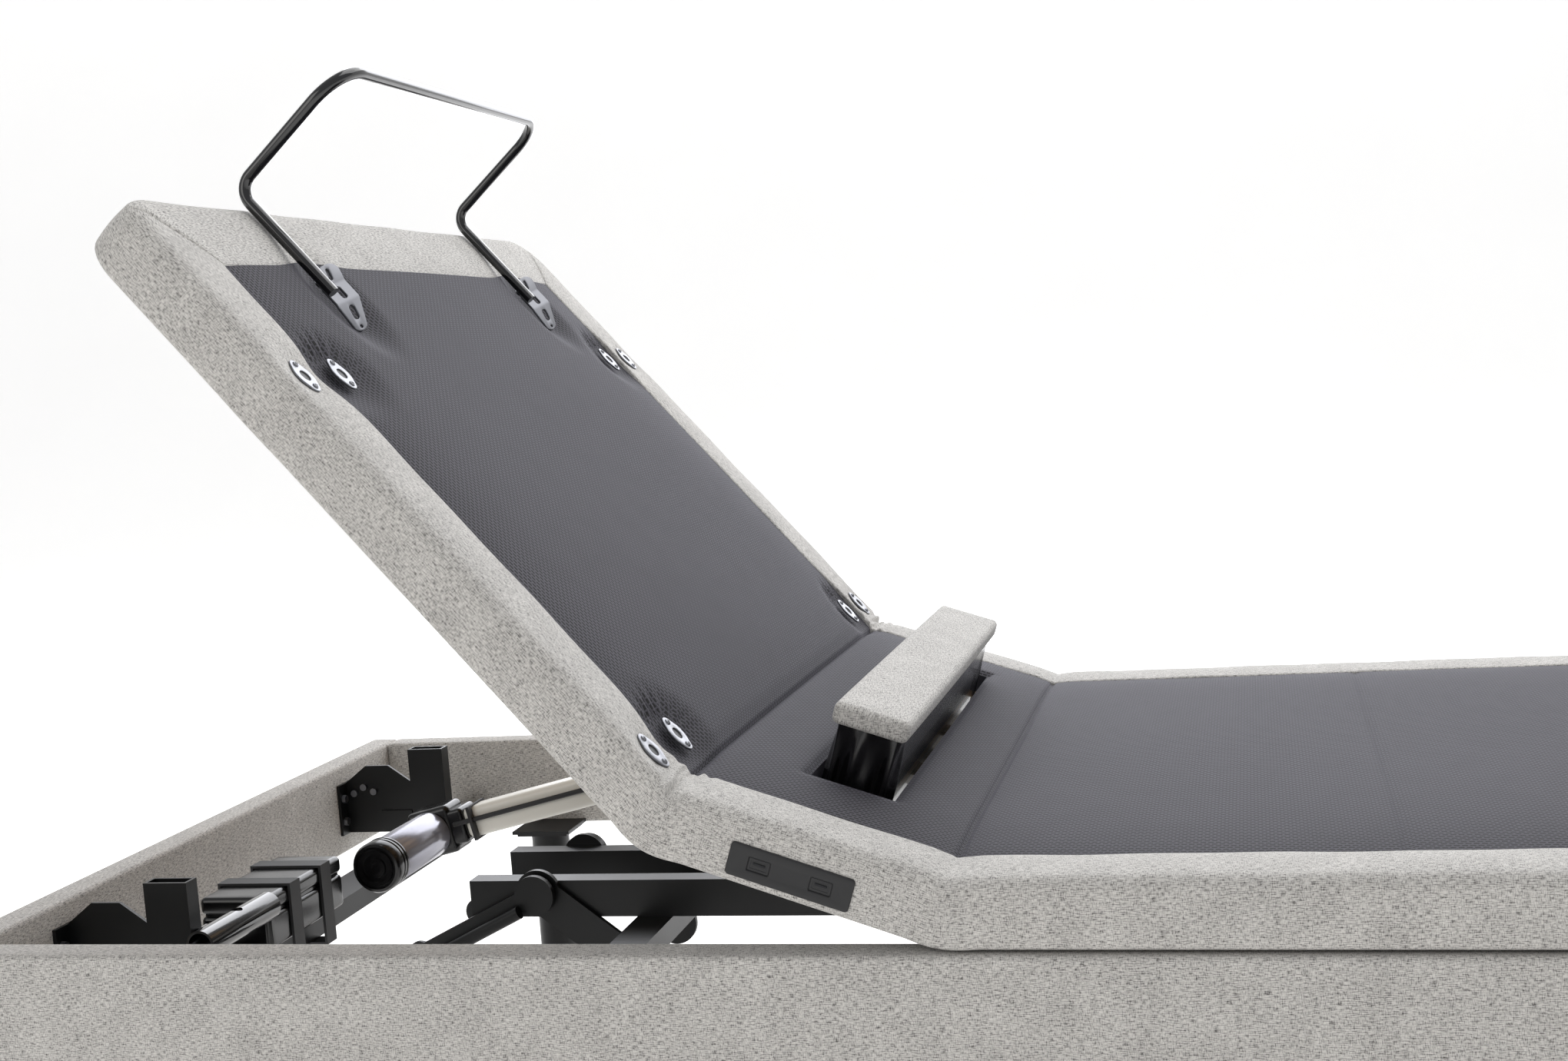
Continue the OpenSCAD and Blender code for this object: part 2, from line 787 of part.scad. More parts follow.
// lugs under the back frame that the lift links hang from
module link_lugs() {
    color("#1b1c1e") on_back() both_sides() {
        plate_y(arm_y - 5, 8) difference() {
            union() {
                translate(lug) circle(r = 12, $fn = pin_fn);
                translate([hinge_1 - 140, lug.y]) square([28, frame_z - lug.y - eps]);
            }
            translate(lug) circle(d = link_pin_d, $fn = pin_fn);
        }
        pin_y(lug, arm_y - 5, arm_y + 16, link_pin_d - 0.02);
    }
}

// ---- lifting linkage ----

// torque tube with an arm near each end, and the pin at each arm's far end
module lift_arms() {
    color("#1b1c1e") {
        pin_y(arm_pivot, -arm_y + arm_t + eps, arm_y - arm_t - eps, 24);
        both_sides() {
            plate_y(arm_y - arm_t, arm_t) bar_2d(arm_pivot, knee, arm_w, 0, 0);
            pin_y(knee, arm_y - 1, arm_y + 15, link_pin_d);
        }
    }
}

module lift_links() {
    color("#2a2b2d") both_sides() plate_y(arm_y + 4, 8)
        bar_2d(lug_now, knee, 16, link_pin_d + 0.14, link_pin_d + 1);
}

// ---- head actuator, drawn along +X from its clevis and then tilted ----

head_lean = heading(head_clevis, head_pin_now);
head_reach = dist(head_clevis, head_pin_now);

module on_head_actuator() {
    translate([head_clevis.x, actuator_y, head_clevis.y]) rotate([0, -head_lean, 0]) children();
}

// motor lying across, with its dark end cap
module head_motor() {
    color("#c9c9cf") on_head_actuator() translate([42, 0, 0]) rotate([90, 0, 0]) {
        translate([0, 0, 24]) cylinder(h = 128, d = motor_d - 4, $fn = 64);
        translate([0, 0, 152 + eps]) cylinder(h = 24, d = motor_d, $fn = 64);
    }
}

module head_gearbox() {
    color("#131314") on_head_actuator() difference() {
        union() {
            rotate([90, 0, 0]) translate([0, 0, -9]) cylinder(h = 18, r = 11, $fn = pin_fn);
            translate([4, -9, -10]) cube([14, 18, 20]);
            translate([16, -24 + eps, -30]) cube([58, 48, 60]);
        }
        rotate([90, 0, 0]) translate([0, 0, -30]) cylinder(h = 60, d = link_pin_d + 0.14, $fn = pin_fn);
    }
}

// outer tube, bored for the rod
module head_tube() {
    color("#e4e2da") on_head_actuator() difference() {
        translate([74 + eps, -19, -19]) cube([330, 38, 38]);
        translate([90, 0, 0]) rotate([0, 90, 0]) cylinder(h = 330, d = 24.4, $fn = pin_fn);
    }
}

cable_d = 6;

// lead clipped along the tube, and its two ties
module head_cable() {
    color("#101010") on_head_actuator() {
        translate([76, -19 - cable_d / 2 - eps, 4]) rotate([0, 90, 0])
            cylinder(h = 300, d = cable_d, $fn = 16);
        for (x = [100, 330]) difference() {
            translate([x, -28.5, -21]) cube([4, 50, 42]);
            translate([x - 1, -19 - eps, -19 - eps]) cube([6, 38 + 2 * eps, 38 + 2 * eps]);
            translate([x - 1, -19.6 - cable_d, 4 - cable_d / 2 - eps]) cube([6, 10, cable_d + 2 * eps]);
        }
    }
}

// rod with an eye whose long slot gives the lost motion
module head_rod() {
    color("#b9bcc2") on_head_actuator() difference() {
        union() {
            translate([230, 0, 0]) rotate([0, 90, 0])
                cylinder(h = head_reach - 249, d = 24, $fn = pin_fn);
            translate([head_reach, 0, 0]) rotate([90, 0, 0]) translate([0, 0, -8]) linear_extrude(16)
                slot_2d([0, 0], 42, 23, 0);
        }
        translate([head_reach, 0, 0]) rotate([90, 0, 0]) translate([0, 0, -30]) linear_extrude(60)
            slot_2d([0, 0], 26, 15, 0);
    }
}

// ---- thigh section ----

module thigh_frame() {
    color("#17181a") {
        section_frame(hinge_3 + 20, hinge_4 - 20, [hinge_3 + 45, hinge_4 - 70]);
        for (y = [-15, 9]) plate_y(-actuator_y + y, 6) difference() {
            union() {
                translate(foot_pin) circle(r = 11, $fn = pin_fn);
                polygon([[foot_pin.x + 6, foot_pin.y - 10], [hinge_3 + 70, frame_z - eps],
                         [hinge_3 + 45, frame_z - eps], [foot_pin.x - 9, foot_pin.y + 6]]);
            }
            translate(foot_pin) circle(d = link_pin_d, $fn = pin_fn);
        }
        pin_y(foot_pin, -actuator_y - 18, -actuator_y + 18, link_pin_d - 0.02);
    }
}

module thigh_rims() {
    color("#c4c0bb") border_strips(hinge_3, mitre_3, 0, hinge_4, 0, mitre_4);
}

module thigh_mesh() {
    color("#3e3d42") mesh_pad(hinge_3, mitre_3, hinge_4 - 1, 0, pad_z - board_t);
}

module thigh_hinges() {
    color("#2b2b2d") {
        pinned_leaf(hinge_3, 1);
        holed_leaf(hinge_4, -1);
    }
}

// ---- foot section ----

module foot_frame() {
    color("#17181a") {
        section_frame(hinge_4 + 20, foot_end - wall - 2, [hinge_4 + 60, foot_lug.x - 14, foot_end - 48]);
        both_sides() {
            plate_y(arm_y - 5, 8) difference() {
                union() {
                    translate(foot_lug) circle(r = 12, $fn = pin_fn);
                    translate([foot_lug.x - 12, foot_lug.y]) square([23, frame_z - foot_lug.y - eps]);
                }
                translate(foot_lug) circle(d = link_pin_d, $fn = pin_fn);
            }
            pin_y(foot_lug, arm_y - 5, arm_y + 16, link_pin_d - 0.02);
        }
    }
}

module foot_rim() {
    color("#c4c0bb") difference() {
        end_shell(foot_end, hinge_4) section_block(hinge_4, 0, mitre_4, foot_end, 0, 0, deck_y);
        frame_room(hinge_4 - 1, foot_end - wall);
        mesh_window(hinge_4 - 1, foot_end - border_w - 15);
        hinge_room(hinge_4);
    }
}

module foot_mesh() {
    color("#3e3d42") mesh_pad(hinge_4 + 1, 0, foot_end - border_w - 15.5, 0, pad_z - board_t);
}

module foot_hinges() {
    color("#2b2b2d") pinned_leaf(hinge_4, 1);
}

module foot_links() {
    color("#2a2b2d") both_sides() plate_y(arm_y + 5, 8)
        bar_2d(foot_pivot, foot_lug, 16, link_pin_d + 0.14, link_pin_d + 1.6);
}

foot_lean = heading(foot_clevis, foot_pin);
foot_reach = dist(foot_clevis, foot_pin);

module on_foot_actuator() {
    translate([foot_clevis.x, -actuator_y, foot_clevis.y]) rotate([0, -foot_lean, 0]) children();
}

// motor, gearbox and outer tube of the foot actuator
module foot_actuator() {
    color("#131314") on_foot_actuator() difference() {
        union() {
            rotate([90, 0, 0]) translate([0, 0, -9]) cylinder(h = 18, r = 11, $fn = pin_fn);
            translate([4, -9, -10]) cube([14, 18, 20]);
            translate([16, -24, -28]) cube([60, 48, 56]);
            translate([46, 23, 0]) rotate([-90, 0, 0]) cylinder(h = 90, d = motor_d - 6, $fn = 64);
            translate([75, -19, -19]) cube([165, 38, 38]);
        }
        rotate([90, 0, 0]) translate([0, 0, -30]) cylinder(h = 60, d = link_pin_d + 0.14, $fn = pin_fn);
        translate([85, 0, 0]) rotate([0, 90, 0]) cylinder(h = 200, d = 24.4, $fn = pin_fn);
    }
}

module foot_rod() {
    color("#b9bcc2") on_foot_actuator() difference() {
        union() {
            translate([100, 0, 0]) rotate([0, 90, 0])
                cylinder(h = foot_reach - 114.5, d = 24, $fn = pin_fn);
            translate([foot_reach, 0, 0]) rotate([90, 0, 0]) translate([0, 0, -8]) linear_extrude(16)
                slot_2d([0, 0], 32, 26, 0);
        }
        translate([foot_reach, 0, 0]) rotate([90, 0, 0]) translate([0, 0, -30]) linear_extrude(60)
            slot_2d([0, 0], 20, 17, 0);
    }
}

head_rail();
left_rail();
right_rail();
foot_rail();
legs();
cross_tubes();
beams();
beam_struts();
rest_posts();
gusset_plates();
gusset_bolts();
control_box();
box_straps();
carrier_tube();
pivot_brackets();
seat_frame();
seat_board();
seat_rims();
seat_mesh();
seat_hinges();
lumbar_frame();
lumbar_board();
lumbar_rims();
lumbar_mesh();
lumbar_hinges();
usb_panel();
usb_ports();
lumbar_brackets();
bar_drive();
bar_cap();
bar_carrier();
bar_skirt();
back_frame();
back_board();
back_rim();
back_mesh();
back_hinges();
retainer_bar();
retainer_brackets();
retainer_sockets();
back_fasteners();
link_lugs();
lift_arms();
lift_links();
head_motor();
head_gearbox();
head_tube();
head_cable();
head_rod();
thigh_frame();
thigh_rims();
thigh_mesh();
thigh_hinges();
foot_frame();
foot_rim();
foot_mesh();
foot_hinges();
foot_links();
foot_actuator();
foot_rod();
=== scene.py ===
"""Looks of an adjustable bed base: upholstered borders, mesh pads, retainer bar, lumbar bar and drives."""

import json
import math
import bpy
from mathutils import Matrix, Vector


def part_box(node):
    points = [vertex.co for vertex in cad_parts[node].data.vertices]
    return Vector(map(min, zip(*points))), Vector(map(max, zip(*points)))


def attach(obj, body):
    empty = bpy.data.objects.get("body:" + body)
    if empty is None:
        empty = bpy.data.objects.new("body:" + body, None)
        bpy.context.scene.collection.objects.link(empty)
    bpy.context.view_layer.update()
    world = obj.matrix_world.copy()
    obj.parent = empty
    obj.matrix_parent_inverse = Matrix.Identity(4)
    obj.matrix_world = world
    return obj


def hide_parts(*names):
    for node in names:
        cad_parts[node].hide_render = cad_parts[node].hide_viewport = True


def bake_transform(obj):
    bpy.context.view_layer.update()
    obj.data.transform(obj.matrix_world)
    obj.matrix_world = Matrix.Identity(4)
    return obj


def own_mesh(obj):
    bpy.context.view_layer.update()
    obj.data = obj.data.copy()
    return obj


bl_info = {
    "name": "Adjustable Bed Base",
    "version": (1, 0, 0),
    "blender": (4, 5, 0),
    "location": "View3D > Sidebar > Bed Base",
    "description": "Builds the soft and detailed pieces of an adjustable bed base around its frame",
    "category": "Add Mesh",
}

import bmesh
import bpy
import numpy as np
from bpy.props import FloatProperty, FloatVectorProperty, PointerProperty, StringProperty
from mathutils import Matrix, Vector

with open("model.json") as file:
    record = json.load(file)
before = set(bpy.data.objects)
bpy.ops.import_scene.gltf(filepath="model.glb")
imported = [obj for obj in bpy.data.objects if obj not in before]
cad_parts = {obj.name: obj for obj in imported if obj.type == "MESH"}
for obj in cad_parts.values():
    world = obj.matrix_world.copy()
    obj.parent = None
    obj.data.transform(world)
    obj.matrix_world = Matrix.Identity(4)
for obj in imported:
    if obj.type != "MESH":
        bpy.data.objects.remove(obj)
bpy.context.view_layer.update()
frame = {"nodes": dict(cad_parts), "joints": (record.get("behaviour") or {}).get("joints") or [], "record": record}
MM = 0.001

# places read from the frame, in metres
PIVOT = {j["name"]: np.array(j["pos_m"]) for j in frame["joints"] if "pos_m" in j}
HINGE_2 = PIVOT["lumbar_tilt"][0]
HINGE_3 = PIVOT["thigh_tilt"][0]
HINGE_4 = PIVOT["foot_tilt"][0]
PIVOT_Z = PIVOT["lumbar_tilt"][2]
HINGE_1 = HINGE_2 - float(np.linalg.norm(PIVOT["back_tilt"] - PIVOT["lumbar_tilt"]))
LUMBAR_ANGLE = math.radians(19.0)
BACK_ANGLE = math.radians(30.5)
DECK_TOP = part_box("seat_mesh")[1].z
PAD_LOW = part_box("seat_mesh")[0].z
DECK_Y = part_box("seat_rims")[1].y
MESH_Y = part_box("seat_mesh")[1].y + 0.5 * MM
HEAD_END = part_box("head_rail")[0].x + 3 * MM
FOOT_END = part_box("foot_rim")[1].x
END_BORDER = 88 * MM
CORNER = 45 * MM
BAR_X = HINGE_2 - 119 * MM
SLOT_X, SLOT_Y = 40 * MM, 318 * MM  # half the slot that the lumbar bar rises through
SOCKET_X = (HINGE_1 - 44 * MM, HINGE_1 - 490 * MM)
SOCKET_Y = (376 * MM, 446 * MM)
ROD_X = HEAD_END - 13 * MM
ROD_FOOT_X = HEAD_END + 128 * MM
LOOP_Y = 264 * MM
LOOP_TOP = DECK_TOP + 168 * MM
BRACKET_Y = (-244 * MM, 284 * MM)
# the covers are split where nothing bends, in the middle of a section
SPLIT_LUMBAR = HINGE_1 + 53 * MM
SPLIT_SEAT = (HINGE_2 + HINGE_3) / 2
SPLIT_THIGH = (HINGE_3 + HINGE_4) / 2


# ---------------------------------------------------------------- settings


class BedFabricSettings(bpy.types.PropertyGroup):
    """Colours and crown of the soft covers."""

    light_yarn: StringProperty(name="Light yarn", description="Light yarn of the upholstery",
                               default="#D6D3CE")
    dark_yarn: StringProperty(name="Dark yarn", description="Dark flecks of the upholstery",
                              default="#4E4B49")
    mesh_yarn: StringProperty(name="Mesh yarn", description="Yarn of the spacer mesh", default="#3F3D44")
    mesh_hole: StringProperty(name="Mesh hole", description="Shadow in the holes of the mesh",
                              default="#060607")
    pad_crown: FloatProperty(
        name="Pad crown", description="How far the mesh pads stand above the deck line", default=4.5 * MM,
        unit="LENGTH"
    )
    border_crown: FloatProperty(
        name="Border crown", description="Rise of the border's top in its middle", default=1.6 * MM,
        unit="LENGTH"
    )


class BedBendSettings(bpy.types.PropertyGroup):
    """How sharply the covers bend at the hinges."""

    width: FloatProperty(
        name="Bend width", description="Length of cover that bends over one hinge", default=58 * MM,
        unit="LENGTH"
    )
    crease: FloatProperty(
        name="Crease depth", description="Depth of the sewn crease across the pads", default=4 * MM,
        unit="LENGTH"
    )


class BedStageSettings(bpy.types.PropertyGroup):
    """Floor colour and camera."""

    floor: StringProperty(name="Floor", description="Colour of the floor", default="#F4F3F1")
    eye: FloatVectorProperty(
        name="Camera place", description="Where the camera stands", default=(0.2163, -1.975, 0.7896),
        unit="LENGTH"
    )
    lens: FloatProperty(name="Lens", description="Focal length in millimetres", default=43.96)


# ---------------------------------------------------------------- shape maths


def smooth(t):
    """A step that eases in and out: 3t^2 - 2t^3 with t held between 0 and 1."""
    t = np.clip(t, 0.0, 1.0)
    return t * t * (3 - 2 * t)


def bell(d, width):
    """A bell curve of the given half width."""
    return np.exp(-((d / width) ** 2))


def turn(p, x, angle):
    """Turns points about the crosswise line through (x, pivot height), raising the head side by angle."""
    dx = p[..., 0] - x
    dz = p[..., 2] - PIVOT_Z
    c, s = np.cos(angle), np.sin(angle)
    return np.stack([x + dx * c + dz * s, p[..., 1], PIVOT_Z - dx * s + dz * c], -1)


def stored(p, width=None):
    """Takes points drawn on the lying deck to the stored pose, easing the turn over width at each hinge."""
    width = width or bpy.context.scene.bed_bend.width
    back = smooth((HINGE_1 + width / 2 - p[..., 0]) / width)
    lumbar = smooth((HINGE_2 + width / 2 - p[..., 0]) / width)
    return turn(turn(p, HINGE_1, back * BACK_ANGLE), HINGE_2, lumbar * LUMBAR_ANGLE)


def on_back(p):
    """Carries lying points rigidly with the back section."""
    return turn(turn(p, HINGE_1, BACK_ANGLE), HINGE_2, LUMBAR_ANGLE)


def on_lumbar(p):
    """Carries lying points rigidly with the lumbar section."""
    return turn(p, HINGE_2, LUMBAR_ANGLE)


def stay(p):
    """Leaves points where they are drawn."""
    return p


def stations(x0, x1, coarse, places, fine, reach):
    """Places from x0 to x1 a coarse step apart, drawing together to a fine step within reach of the
    given places."""
    x = np.linspace(x0, x1, 4001)
    density = np.full_like(x, 1 / coarse)
    for c in places:
        density = np.maximum(density, (1 / fine) * bell(x - c, reach))
    total = np.concatenate([[0], np.cumsum((density[1:] + density[:-1]) / 2) * abs(x[1] - x[0])])
    count = max(2, int(math.ceil(total[-1])) + 1)
    return np.interp(np.linspace(0, total[-1], count), total, x)


def along(points):
    """Length along a row of points, starting at nought."""
    step = np.linalg.norm(np.diff(points, axis=0), axis=1)
    return np.concatenate([[0], np.cumsum(step)])


def arc(cx, cy, r, a0, a1, n):
    """Points of a circular arc between two angles in degrees."""
    a = np.radians(np.linspace(a0, a1, n))
    return np.stack([cx + r * np.cos(a), cy + r * np.sin(a)], -1)


def rounded_rect(w, h, r, n=6):
    """Outline of a rectangle with rounded corners, centred on nought."""
    x, y = w / 2 - r, h / 2 - r
    parts = [arc(sx * x, sy * y, r, a, a + 90, n) for sx, sy,
             a in ((1, 1, 0), (-1, 1, 90), (-1, -1, 180), (1, -1, 270))]
    return np.concatenate(parts)


def stadium(length, w, n=12):
    """Outline of a slot with round ends, lying along the first axis."""
    x = (length - w) / 2
    return np.concatenate([arc(x, 0, w / 2, -90, 90, n), arc(-x, 0, w / 2, 90, 270, n)])


def rounded_path(corners, radii, n=14):
    """A path through straight runs, with each inner corner turned as an arc of its own radius."""
    corners = [np.array(c, float) for c in corners]
    pieces = [corners[0][None]]
    for before, here, after, r in zip(corners, corners[1:], corners[2:], radii):
        a = (before - here) / np.linalg.norm(before - here)
        b = (after - here) / np.linalg.norm(after - here)
        half = math.acos(float(np.clip(a @ b, -1, 1))) / 2
        reach = r / math.tan(half)
        centre = here + (a + b) / np.linalg.norm(a + b) * r / math.sin(half)
        u = here + a * reach - centre
        v = here + b * reach - centre
        sweep = math.pi - 2 * half
        t = np.linspace(0, sweep, n)[:, None]
        pieces.append(centre + (u * np.sin(sweep - t) + v * np.sin(t)) / math.sin(sweep))
    pieces.append(corners[-1][None])
    return np.concatenate(pieces)


# ---------------------------------------------------------------- mesh making


def grid_faces(rows, cols, close_rows=False, close_cols=False):
    """Corner indices of a grid's quads: first into the points, then into a UV grid that has a spare
    last line."""
    i, j = np.meshgrid(np.arange(rows - (not close_rows)), np.arange(cols - (not close_cols)),
                       indexing="ij")
    corners = [(i, j), (i + 1, j), (i + 1, j + 1), (i, j + 1)]
    uv_cols = cols + bool(close_cols)
    points = np.stack([((r % rows) * cols + c % cols).ravel() for r, c in corners], 1)
    uvs = np.stack([(r * uv_cols + c).ravel() for r, c in corners], 1)
    return points, uvs


def build(name, points, faces, corner_uv=None, angle=40.0):
    """Makes one mesh object from points, face arrays and a UV for each corner, merges doubles and
    turns it outwards."""
    mesh = bpy.data.meshes.new(name)
    order = np.concatenate([f.ravel() for f in faces])
    sizes = np.concatenate([np.full(len(f), f.shape[1]) for f in faces])
    mesh.vertices.add(len(points))
    mesh.vertices.foreach_set("co", np.asarray(points, np.float32).ravel())
    mesh.loops.add(len(order))
    mesh.loops.foreach_set("vertex_index", order.astype(np.int32))
    mesh.polygons.add(len(sizes))
    mesh.polygons.foreach_set("loop_start", np.concatenate([[0], np.cumsum(sizes)[:-1]]).astype(np.int32))
    mesh.update(calc_edges=True)
    if corner_uv is not None:
        layer = mesh.uv_layers.new(name="UVMap")
        layer.data.foreach_set("uv", np.asarray(corner_uv, np.float32).ravel())
    edit = bmesh.new()
    edit.from_mesh(mesh)
    bmesh.ops.remove_doubles(edit, verts=edit.verts, dist=1e-6)
    bmesh.ops.recalc_face_normals(edit, faces=edit.faces)
    edit.to_mesh(mesh)
    edit.free()
    mesh.shade_smooth()
    mesh.set_sharp_from_angle(angle=math.radians(angle))
    obj = bpy.data.objects.new(name, mesh)
    bpy.context.scene.collection.objects.link(obj)
    return obj


def tube_faces(points, uv, base=0):
    """Faces and corner UVs of a closed tube: rings of points, with a flat cap on each end."""
    rows, cols = points.shape[:2]
    quads, quad_uv = grid_faces(rows, cols, close_cols=True)
    caps = np.array([np.arange(cols), (rows - 1) * cols + np.arange(cols)[::-1]])
    ends = points.reshape(-1, 3)[caps]
    cap_uv = np.concatenate([end[:, np.sort(np.argsort(np.ptp(end, axis=0))[1:])] for end in ends])
    corner_uv = np.concatenate([uv.reshape(-1, 2)[quad_uv.ravel()], cap_uv])
    return [quads + base, caps + base], corner_uv


def tubes(name, parts, angle=40.0):
    """One object from several closed tubes, each given as its rings of points and its UV grid."""
    points, faces, uvs, base = [], [], [], 0
    for rings, uv in parts:
        made, corner_uv = tube_faces(rings, uv, base)
        points.append(rings.reshape(-1, 3))
        faces += made
        uvs.append(corner_uv)
        base += rings.shape[0] * rings.shape[1]
    return build(name, np.concatenate(points), faces, np.concatenate(uvs), angle)


def slab(name, top, bottom, keep, uv, angle=40.0):
    """A pad between two grids of points, where keep says which cells exist, with walls round every
    free edge."""
    rows, cols = top.shape[:2]
    quads, _ = grid_faces(rows, cols)
    quads = quads[keep.ravel()]
    count = rows * cols
    edges = np.concatenate([quads[:, [k, (k + 1) % 4]] for k in range(4)])
    key = np.sort(edges, 1)
    _, first, times = np.unique(key[:, 0] * count + key[:, 1], return_index=True, return_counts=True)
    free = edges[first[times == 1]]
    walls = np.stack([free[:, 1], free[:, 0], free[:, 0] + count, free[:, 1] + count], 1)
    faces = [quads, quads[:, ::-1] + count, walls]
    points = np.concatenate([top.reshape(-1, 3), bottom.reshape(-1, 3)])
    flat_uv = np.concatenate([uv.reshape(-1, 2)] * 2)
    corner_uv = np.concatenate([flat_uv[f.ravel()] for f in faces])
    return build(name, points, faces, corner_uv, angle)


def soft_block(lo, hi, r, axis, bulge=0.0, n=6, place=stay):
    """Rings of a block with rounded edges: a rounded section carried along axis, drawn in round both ends.
    The long faces swell by bulge in their middle."""
    lo, hi = np.array(lo, float), np.array(hi, float)
    others = [k for k in range(3) if k != axis]
    size, mid = hi - lo, (hi + lo) / 2
    a = np.radians(np.linspace(0, 90, n))
    inset = np.concatenate([r * (1 - np.sin(a)), np.zeros(24), r * (1 - np.sin(a[::-1]))])
    start, end = lo[axis] + r * (1 - np.cos(a)), hi[axis] - r * (1 - np.cos(a[::-1]))
    middle = np.linspace(start[-1], end[0], 26)[1:-1]
    at = np.concatenate([start, middle, end])
    base = rounded_rect(size[others[0]], size[others[1]], r, n)
    corner = np.sign(base) * (np.array([size[others[0]], size[others[1]]]) / 2 - r)
    ring = corner[None] + (base - corner)[None] * ((r - inset)[:, None, None] / r)
    swell = 1 + np.sin(np.pi * np.clip((at - lo[axis]) / size[axis], 0, 1))[:, None, None] ** 0.5 * (
        2 * bulge / size[others][None, None]
    ) * (1 - np.abs(ring / (size[others] / 2)) [..., ::-1] ** 2)
    ring = ring * swell
    points = np.zeros(ring.shape[:2] + (3,))
    points[..., axis] = at[:, None]
    points[..., others[0]] = mid[others[0]] + ring[..., 0]
    points[..., others[1]] = mid[others[1]] + ring[..., 1]
    closed = np.concatenate([base, base[:1]])
    v = along(closed)
    u = along(np.stack([at, inset], -1))
    uv = np.stack(np.broadcast_arrays(u[:, None], v[None]), -1)
    return place(points), uv


def pipe(path, r, sides=24):
    """Rings of a round rod along a path. The ring's first direction is square to the path and to a
    slanted guide line."""
    t = np.gradient(path, axis=0)
    t /= np.linalg.norm(t, axis=1)[:, None]
    u = np.cross(t, np.array([0.37, 0.59, 0.71]))
    u /= np.linalg.norm(u, axis=1)[:, None]
    w = np.cross(t, u)
    a = np.linspace(0, 2 * np.pi, sides, endpoint=False)
    rings = path[:,
                 None] + r * (np.cos(a)[None, :, None] * u[:, None] + np.sin(a)[None, :, None] * w[:, None])
    v = np.linspace(0, 2 * np.pi * r, sides + 1)
    uv = np.stack(np.broadcast_arrays(along(path)[:, None], v[None]), -1)
    return rings, uv


def lathe(profile, origin, direction, side, sides=64):
    """Rings of a turned piece: each (radius, height) of the profile swept round the axis through origin."""
    profile = np.array(profile, float)
    axis = np.array(direction, float) / np.linalg.norm(direction)
    u = np.array(side, float) / np.linalg.norm(side)
    w = np.cross(axis, u)
    a = np.linspace(0, 2 * np.pi, sides, endpoint=False)
    around = np.cos(a)[:, None] * u + np.sin(a)[:, None] * w
    rings = origin + profile[:, 1, None, None] * axis + profile[:, 0, None, None] * around[None]
    v = np.linspace(0, 2 * np.pi * profile[:, 0].max(), sides + 1)
    uv = np.stack(np.broadcast_arrays(along(profile)[:, None], v[None]), -1)
    return rings, uv


def plate(name, outlines, thickness, bevel):
    """A flat plate with bevelled edges from closed outlines, the first one outside and the others as holes.
    It is drawn on the first two axes, half its thickness to each side of nought."""
    curve = bpy.data.curves.new(name, "CURVE")
    curve.dimensions = "2D"
    curve.fill_mode = "BOTH"
    curve.extrude = thickness / 2 - bevel
    curve.bevel_depth = bevel
    curve.bevel_resolution = 2
    curve.offset = -bevel
    for line in outlines:
        spline = curve.splines.new("POLY")
        spline.points.add(len(line) - 1)
        co = np.concatenate([line, np.zeros((len(line), 1)), np.ones((len(line), 1))], 1)
        spline.points.foreach_set("co", co.astype(np.float32).ravel())
        spline.use_cyclic_u = True
    carrier = bpy.data.objects.new(name + "_curve", curve)
    bpy.context.scene.collection.objects.link(carrier)
    bpy.context.view_layer.update()
    mesh = bpy.data.meshes.new_from_object(carrier.evaluated_get(bpy.context.evaluated_depsgraph_get()))
    bpy.data.objects.remove(carrier)
    edit = bmesh.new()
    edit.from_mesh(mesh)
    bmesh.ops.remove_doubles(edit, verts=edit.verts, dist=1e-6)
    return edit, mesh


def plates(name, parts, cuts=()):
    """One object from several plates. Each is (outlines, thickness, bevel, place); cuts are lines
    across the first axis
    where a bend needs an edge."""
    whole = bmesh.new()
    for outlines, thickness, bevel, place in parts:
        edit, mesh = plate(name, outlines, thickness, bevel)
        for x in cuts:
            everything = edit.verts[:] + edit.edges[:] + edit.faces[:]
            bmesh.ops.bisect_plane(edit, geom=everything, plane_co=(x, 0, 0), plane_no=(1, 0, 0), dist=1e-6)
        edit.to_mesh(mesh)
        edit.free()
        co = np.zeros(len(mesh.vertices) * 3, np.float32)
        mesh.vertices.foreach_get("co", co)
        moved = place(co.reshape(-1, 3).astype(float) + np.array([0, 0, thickness / 2]))
        mesh.vertices.foreach_set("co", moved.astype(np.float32).ravel())
        whole.from_mesh(mesh)
        bpy.data.meshes.remove(mesh)
    bmesh.ops.recalc_face_normals(whole, faces=whole.faces)
    made = bpy.data.meshes.new(name)
    whole.to_mesh(made)
    whole.free()
    made.shade_smooth()
    made.set_sharp_from_angle(angle=math.radians(35))
    obj = bpy.data.objects.new(name, made)
    bpy.context.scene.collection.objects.link(obj)
    return obj


def paint(obj, material):
    """Gives a piece or a CAD node one material."""
    obj.data.materials.clear()
    obj.data.materials.append(material)
    return obj


def rigid(obj, finish, slot, body, *nodes):
    """Finishes a piece that moves with one body and takes the place of the given CAD nodes."""
    paint(obj, M[finish])
    if nodes:
        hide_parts(*nodes)
    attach(obj, body)


# ---------------------------------------------------------------- materials


def colour(text):
    """An sRGB hex colour as linear RGBA."""
    value = np.array([int(text[k : k + 2], 16) for k in (1, 3, 5)]) / 255
    linear = np.where(value <= 0.04045, value / 12.92, ((value + 0.055) / 1.055) ** 2.4)
    return (*linear.tolist(), 1.0)


def add(tree, kind, inputs=None, **settings):
    """Adds one shader node, sets its properties, and fills or links its inputs."""
    made = tree.nodes.new(kind)
    for key, value in settings.items():
        setattr(made, key, value)
    for key, value in (inputs or {}).items():
        if isinstance(value, bpy.types.NodeSocket):
            tree.links.new(value, made.inputs[key])
        else:
            made.inputs[key].default_value = value
    return made


